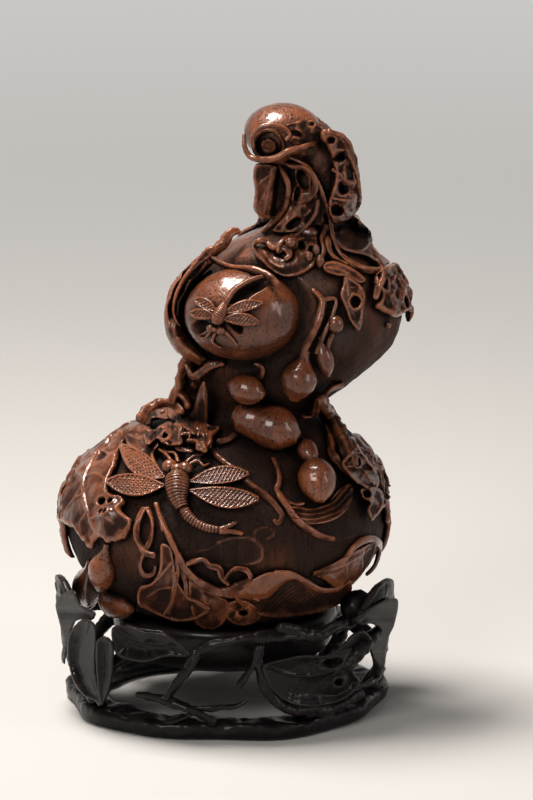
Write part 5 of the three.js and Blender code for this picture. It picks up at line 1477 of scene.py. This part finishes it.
make("stand_rail", [
    vine(FRONT, [(-14, 13, 0.5), (-8.7, 19, 1), (-3.5, 21.6, 1), (8, 23.4, 1.4), (19, 24.4, 1.4),
        (31, 24, 1.4), (43.5, 29, 0.6)], [1.4, 1.7, 2, 2, 1.6], **TWIG),
    vine(FRONT, [(31, 24, 1), (24, 26, -8), (18, 27, -16)], [2.2, 2.2], **TWIG),
    bead(FRONT, low([(1095, 302)]), 1.8, (3.0, 2.6, 2.6), 0.12, 47),
    twig([(1100, 300), (1180, 262), (1250, 265), (1275, 230)], 1.4, [1.4, 1.1]),
    twig([(876, 345), (858, 410), (820, 465), (780, 525)], 1.4, [1.2, 1.4, 1.0]),
], **STAND)
make("stand_twig", [
    vine(FRONT, [(-31.4, 3.6, 1), (-20.7, 1.4, 1.6), (-10.4, -2.5, 1.8), (-3, -7, 1.4)], [1.2, 1.7, 1.4],
        **TWIG),
    vine(FRONT, [(-20.7, 1.4, 1.6), (-16.5, 8, 1.4), (-12.5, 13, 0.8), (-10, 17, -6), (-10, 20, -13)],
        [1.7, 1.7, 2.0], **TWIG),
    twig([(560, 598), (640, 605), (720, 600), (785, 592), (822, 570)], 1.2, [1.1, 0.9]),
    twig([(592, 628), (540, 650), (452, 680)], 1.6, [0.9, 0.9]),
    twig([(600, 400), (640, 365), (690, 330)], 0.8, [1.2, 1.4]),
], **STAND)
make("stand_leaf_left", [
    wood_leaf([(75, 372), (86, 302), (124, 250), (166, 236), (197, 262), (202, 330), (197, 420), (206, 500),
        (223, 560), (214, 602), (190, 578), (150, 562), (108, 512), (84, 440)],
        [[(168, 245), (152, 330), (160, 430), (186, 520), (212, 592)], [(152, 320), (105, 345)],
        [(152, 340), (192, 330)], [(155, 395), (100, 430)], [(160, 430), (198, 440)],
        [(172, 475), (125, 515)]], lift=2.0, seed=41),
    wood_leaf([(204, 325), (236, 306), (270, 335), (272, 412), (264, 492), (246, 552), (218, 600),
        (206, 540), (199, 450), (197, 380)], [[(240, 312), (238, 400), (240, 480), (222, 590)],
        [(238, 400), (266, 390)], [(238, 440), (205, 460)]], lift=2.6, seed=48),
], **STAND)
make("stand_leaf_left_rear", [
    stand_leaf(View(stand_skin, FLOOR, -78), [(13, 27), (2, 28), (-9, 22), (-14, 9), (-22, -7)],
        [1, 5, 8, 8, 6, 2.5, 1.6], [1, 5, 8, 8, 5, 2.5, 1.6], seed=42),
    wood_leaf([(28, 178), (60, 134), (108, 120), (140, 178), (198, 212), (188, 238), (120, 245), (92, 300),
        (76, 370), (60, 436), (50, 400), (60, 330), (42, 250)], [[(110, 135), (90, 200), (70, 290),
        (60, 420)], [(90, 200), (180, 220)]], lift=1.0, seed=49),
], **STAND)
make("stand_leaf_front", [
    wood_leaf([(268, 270), (330, 262), (400, 284), (470, 292), (530, 318), (566, 350), (594, 382),
        (560, 390), (490, 390), (402, 414), (330, 404), (286, 386), (268, 340)],
        [[(275, 285), (330, 320), (400, 345), (500, 352), (588, 382)], [(330, 320), (320, 385)],
        [(400, 345), (420, 395)], [(380, 335), (440, 300)], [(460, 350), (520, 325)]], lift=2.0, seed=43),
    twig([(322, 264), (400, 284), (480, 294), (545, 332)], 3.4, [0.6, 0.8, 0.6]),
], **STAND)
make("stand_leaf_right", [
    stand_leaf(View(stand_skin, FLOOR, 70), [(-16, 26), (-6, 29), (6, 24), (10, 12), (6, -2)],
        [1, 5, 8, 8, 6, 1], [1, 4, 7, 8, 6, 1], lift=1.8, seed=44),
    wood_leaf([(1265, 240), (1322, 192), (1390, 162), (1444, 158), (1434, 260), (1404, 330), (1386, 452),
        (1350, 422), (1328, 345), (1372, 290), (1335, 258), (1290, 262)],
        [[(1280, 245), (1340, 200), (1410, 195)], [(1410, 195), (1400, 300), (1372, 420)]], lift=1.6,
        seed=50),
    twig([(1262, 525), (1320, 512), (1360, 488), (1392, 450)], 1.2, [0.8, 1.2, 0.9]),
], **STAND)
make("stand_leaf_rear", [
    stand_leaf(View(stand_skin, FLOOR, 180), [(-26, 22), (-8, 27), (12, 23), (24, 10), (28, -7)],
        [1, 7, 12, 12, 9, 4, 1.6], [1, 7, 12, 12, 9, 4, 1.6], seed=45),
], **STAND)
make("stand_leaf_rear_left", [
    stand_leaf(View(stand_skin, FLOOR, -135), [(-22, -7), (-16, 6), (-6, 14), (6, 17), (18, 13)],
        [1.6, 4, 8, 10, 9, 6, 1], [1.6, 4, 8, 10, 9, 6, 1], seed=46),
], **STAND)


PALE = (0.6, 0.585, 0.565)


def seen_directly(w):
    """1 for the rays that see a background: from the camera, or off or through a surface."""
    rays = w.add("ShaderNodeLightPath").outputs
    seen = w.plus(rays["Is Camera Ray"], rays["Is Glossy Ray"])
    return w.plus(seen, rays["Is Transmission Ray"], clamp=True)


def studio_floor():
    """Pale paper that keeps the shadow near the object and fades to an even pale tone further out."""
    material, tree = nodes_of("studio_floor")
    w = Wires(tree)
    paper = w.add("ShaderNodeBsdfPrincipled")
    grain = w.noise(900, (1, 1, 1), 2.0, 0.5)
    colour = w.mix(w.ramp(grain, 0.3, 0.7), (0.47, 0.46, 0.45), (0.462, 0.452, 0.442))
    w.link(colour, paper.inputs["Base Color"])
    paper.inputs["Roughness"].default_value = 0.9
    distance = w.add("ShaderNodeVectorMath", operation="LENGTH")
    w.link(w.add("ShaderNodeNewGeometry").outputs["Position"], distance.inputs[0])
    far = w.times(w.ramp(distance.outputs["Value"], 0.2, 1.3), seen_directly(w))
    glow = w.add("ShaderNodeEmission")
    glow.inputs[0].default_value = (*PALE, 1)
    blend = w.add("ShaderNodeMixShader")
    w.link(far, blend.inputs[0])
    w.link(paper.outputs[0], blend.inputs[1])
    w.link(glow.outputs[0], blend.inputs[2])
    w.link(blend.outputs[0], w.add("ShaderNodeOutputMaterial").inputs[0])
    return material


ground = bpy.data.meshes.new("floor")
ground.from_pydata([(-15, -15, 0), (15, -15, 0), (15, 15, 0), (-15, 15, 0)], [], [(0, 1, 2, 3)])
ground.materials.append(studio_floor())
floor = bpy.data.objects.new("floor", ground)
bpy.context.scene.collection.objects.link(floor)


def area_light(name, place, target, size, power, colour):
    data = bpy.data.lights.new(name, "AREA")
    data.shape, data.size, data.size_y = "RECTANGLE", size[0], size[1]
    data.energy, data.color = power, colour
    lamp = bpy.data.objects.new(name, data)
    lamp.location = place
    lamp.rotation_euler = (Vector(target) - Vector(place)).to_track_quat("-Z", "Y").to_euler()
    bpy.context.scene.collection.objects.link(lamp)
    return lamp


MIDDLE = (0.01, 0.0, 0.11)
area_light("top_softbox", (-0.24, 0.1, 1.0), MIDDLE, (0.42, 0.3), 19, (1, 0.95, 0.89))
area_light("front_softbox", (-0.45, -0.95, 0.75), MIDDLE, (0.4, 0.4), 6.5, (1, 0.95, 0.9))
area_light("fill_softbox", (0.95, -0.5, 0.45), MIDDLE, (0.3, 0.6), 2.6, (1, 0.96, 0.92))
world = bpy.data.worlds.new("studio")
world.use_nodes = True
world.node_tree.nodes.clear()
sky = Wires(world.node_tree)
background = sky.add("ShaderNodeBackground")
direction = sky.add("ShaderNodeSeparateXYZ")
sky.link(sky.add("ShaderNodeTexCoord").outputs["Generated"], direction.inputs[0])
low_sky = sky.times(sky.ramp(direction.outputs["Z"], 0.5, 0.22), seen_directly(sky))
sky.link(sky.mix(low_sky, (0.12, 0.117, 0.113), PALE), background.inputs[0])
sky.link(background.outputs[0], sky.add("ShaderNodeOutputWorld").inputs[0])
bpy.context.scene.world = world

DISTANCE = 5.0
SENSOR = 36.0
FRAME_HEIGHT = 0.8 / 2.8
aim = np.array([0.01482, 0.0, 0.0]) + 0.1075 * LOW.up + SHIFT * 0.001
camera_data = bpy.data.cameras.new("camera")
camera_data.sensor_width = SENSOR
camera_data.lens = SENSOR * DISTANCE / FRAME_HEIGHT
camera_data.clip_end = 60
camera = bpy.data.objects.new("camera", camera_data)
camera.location = Vector(aim - LOW.away * DISTANCE)
camera.rotation_euler = Vector(LOW.away).to_track_quat("-Z", "Y").to_euler()
bpy.context.scene.collection.objects.link(camera)
bpy.context.scene.camera = camera
bpy.context.scene.view_settings.view_transform = "Standard"
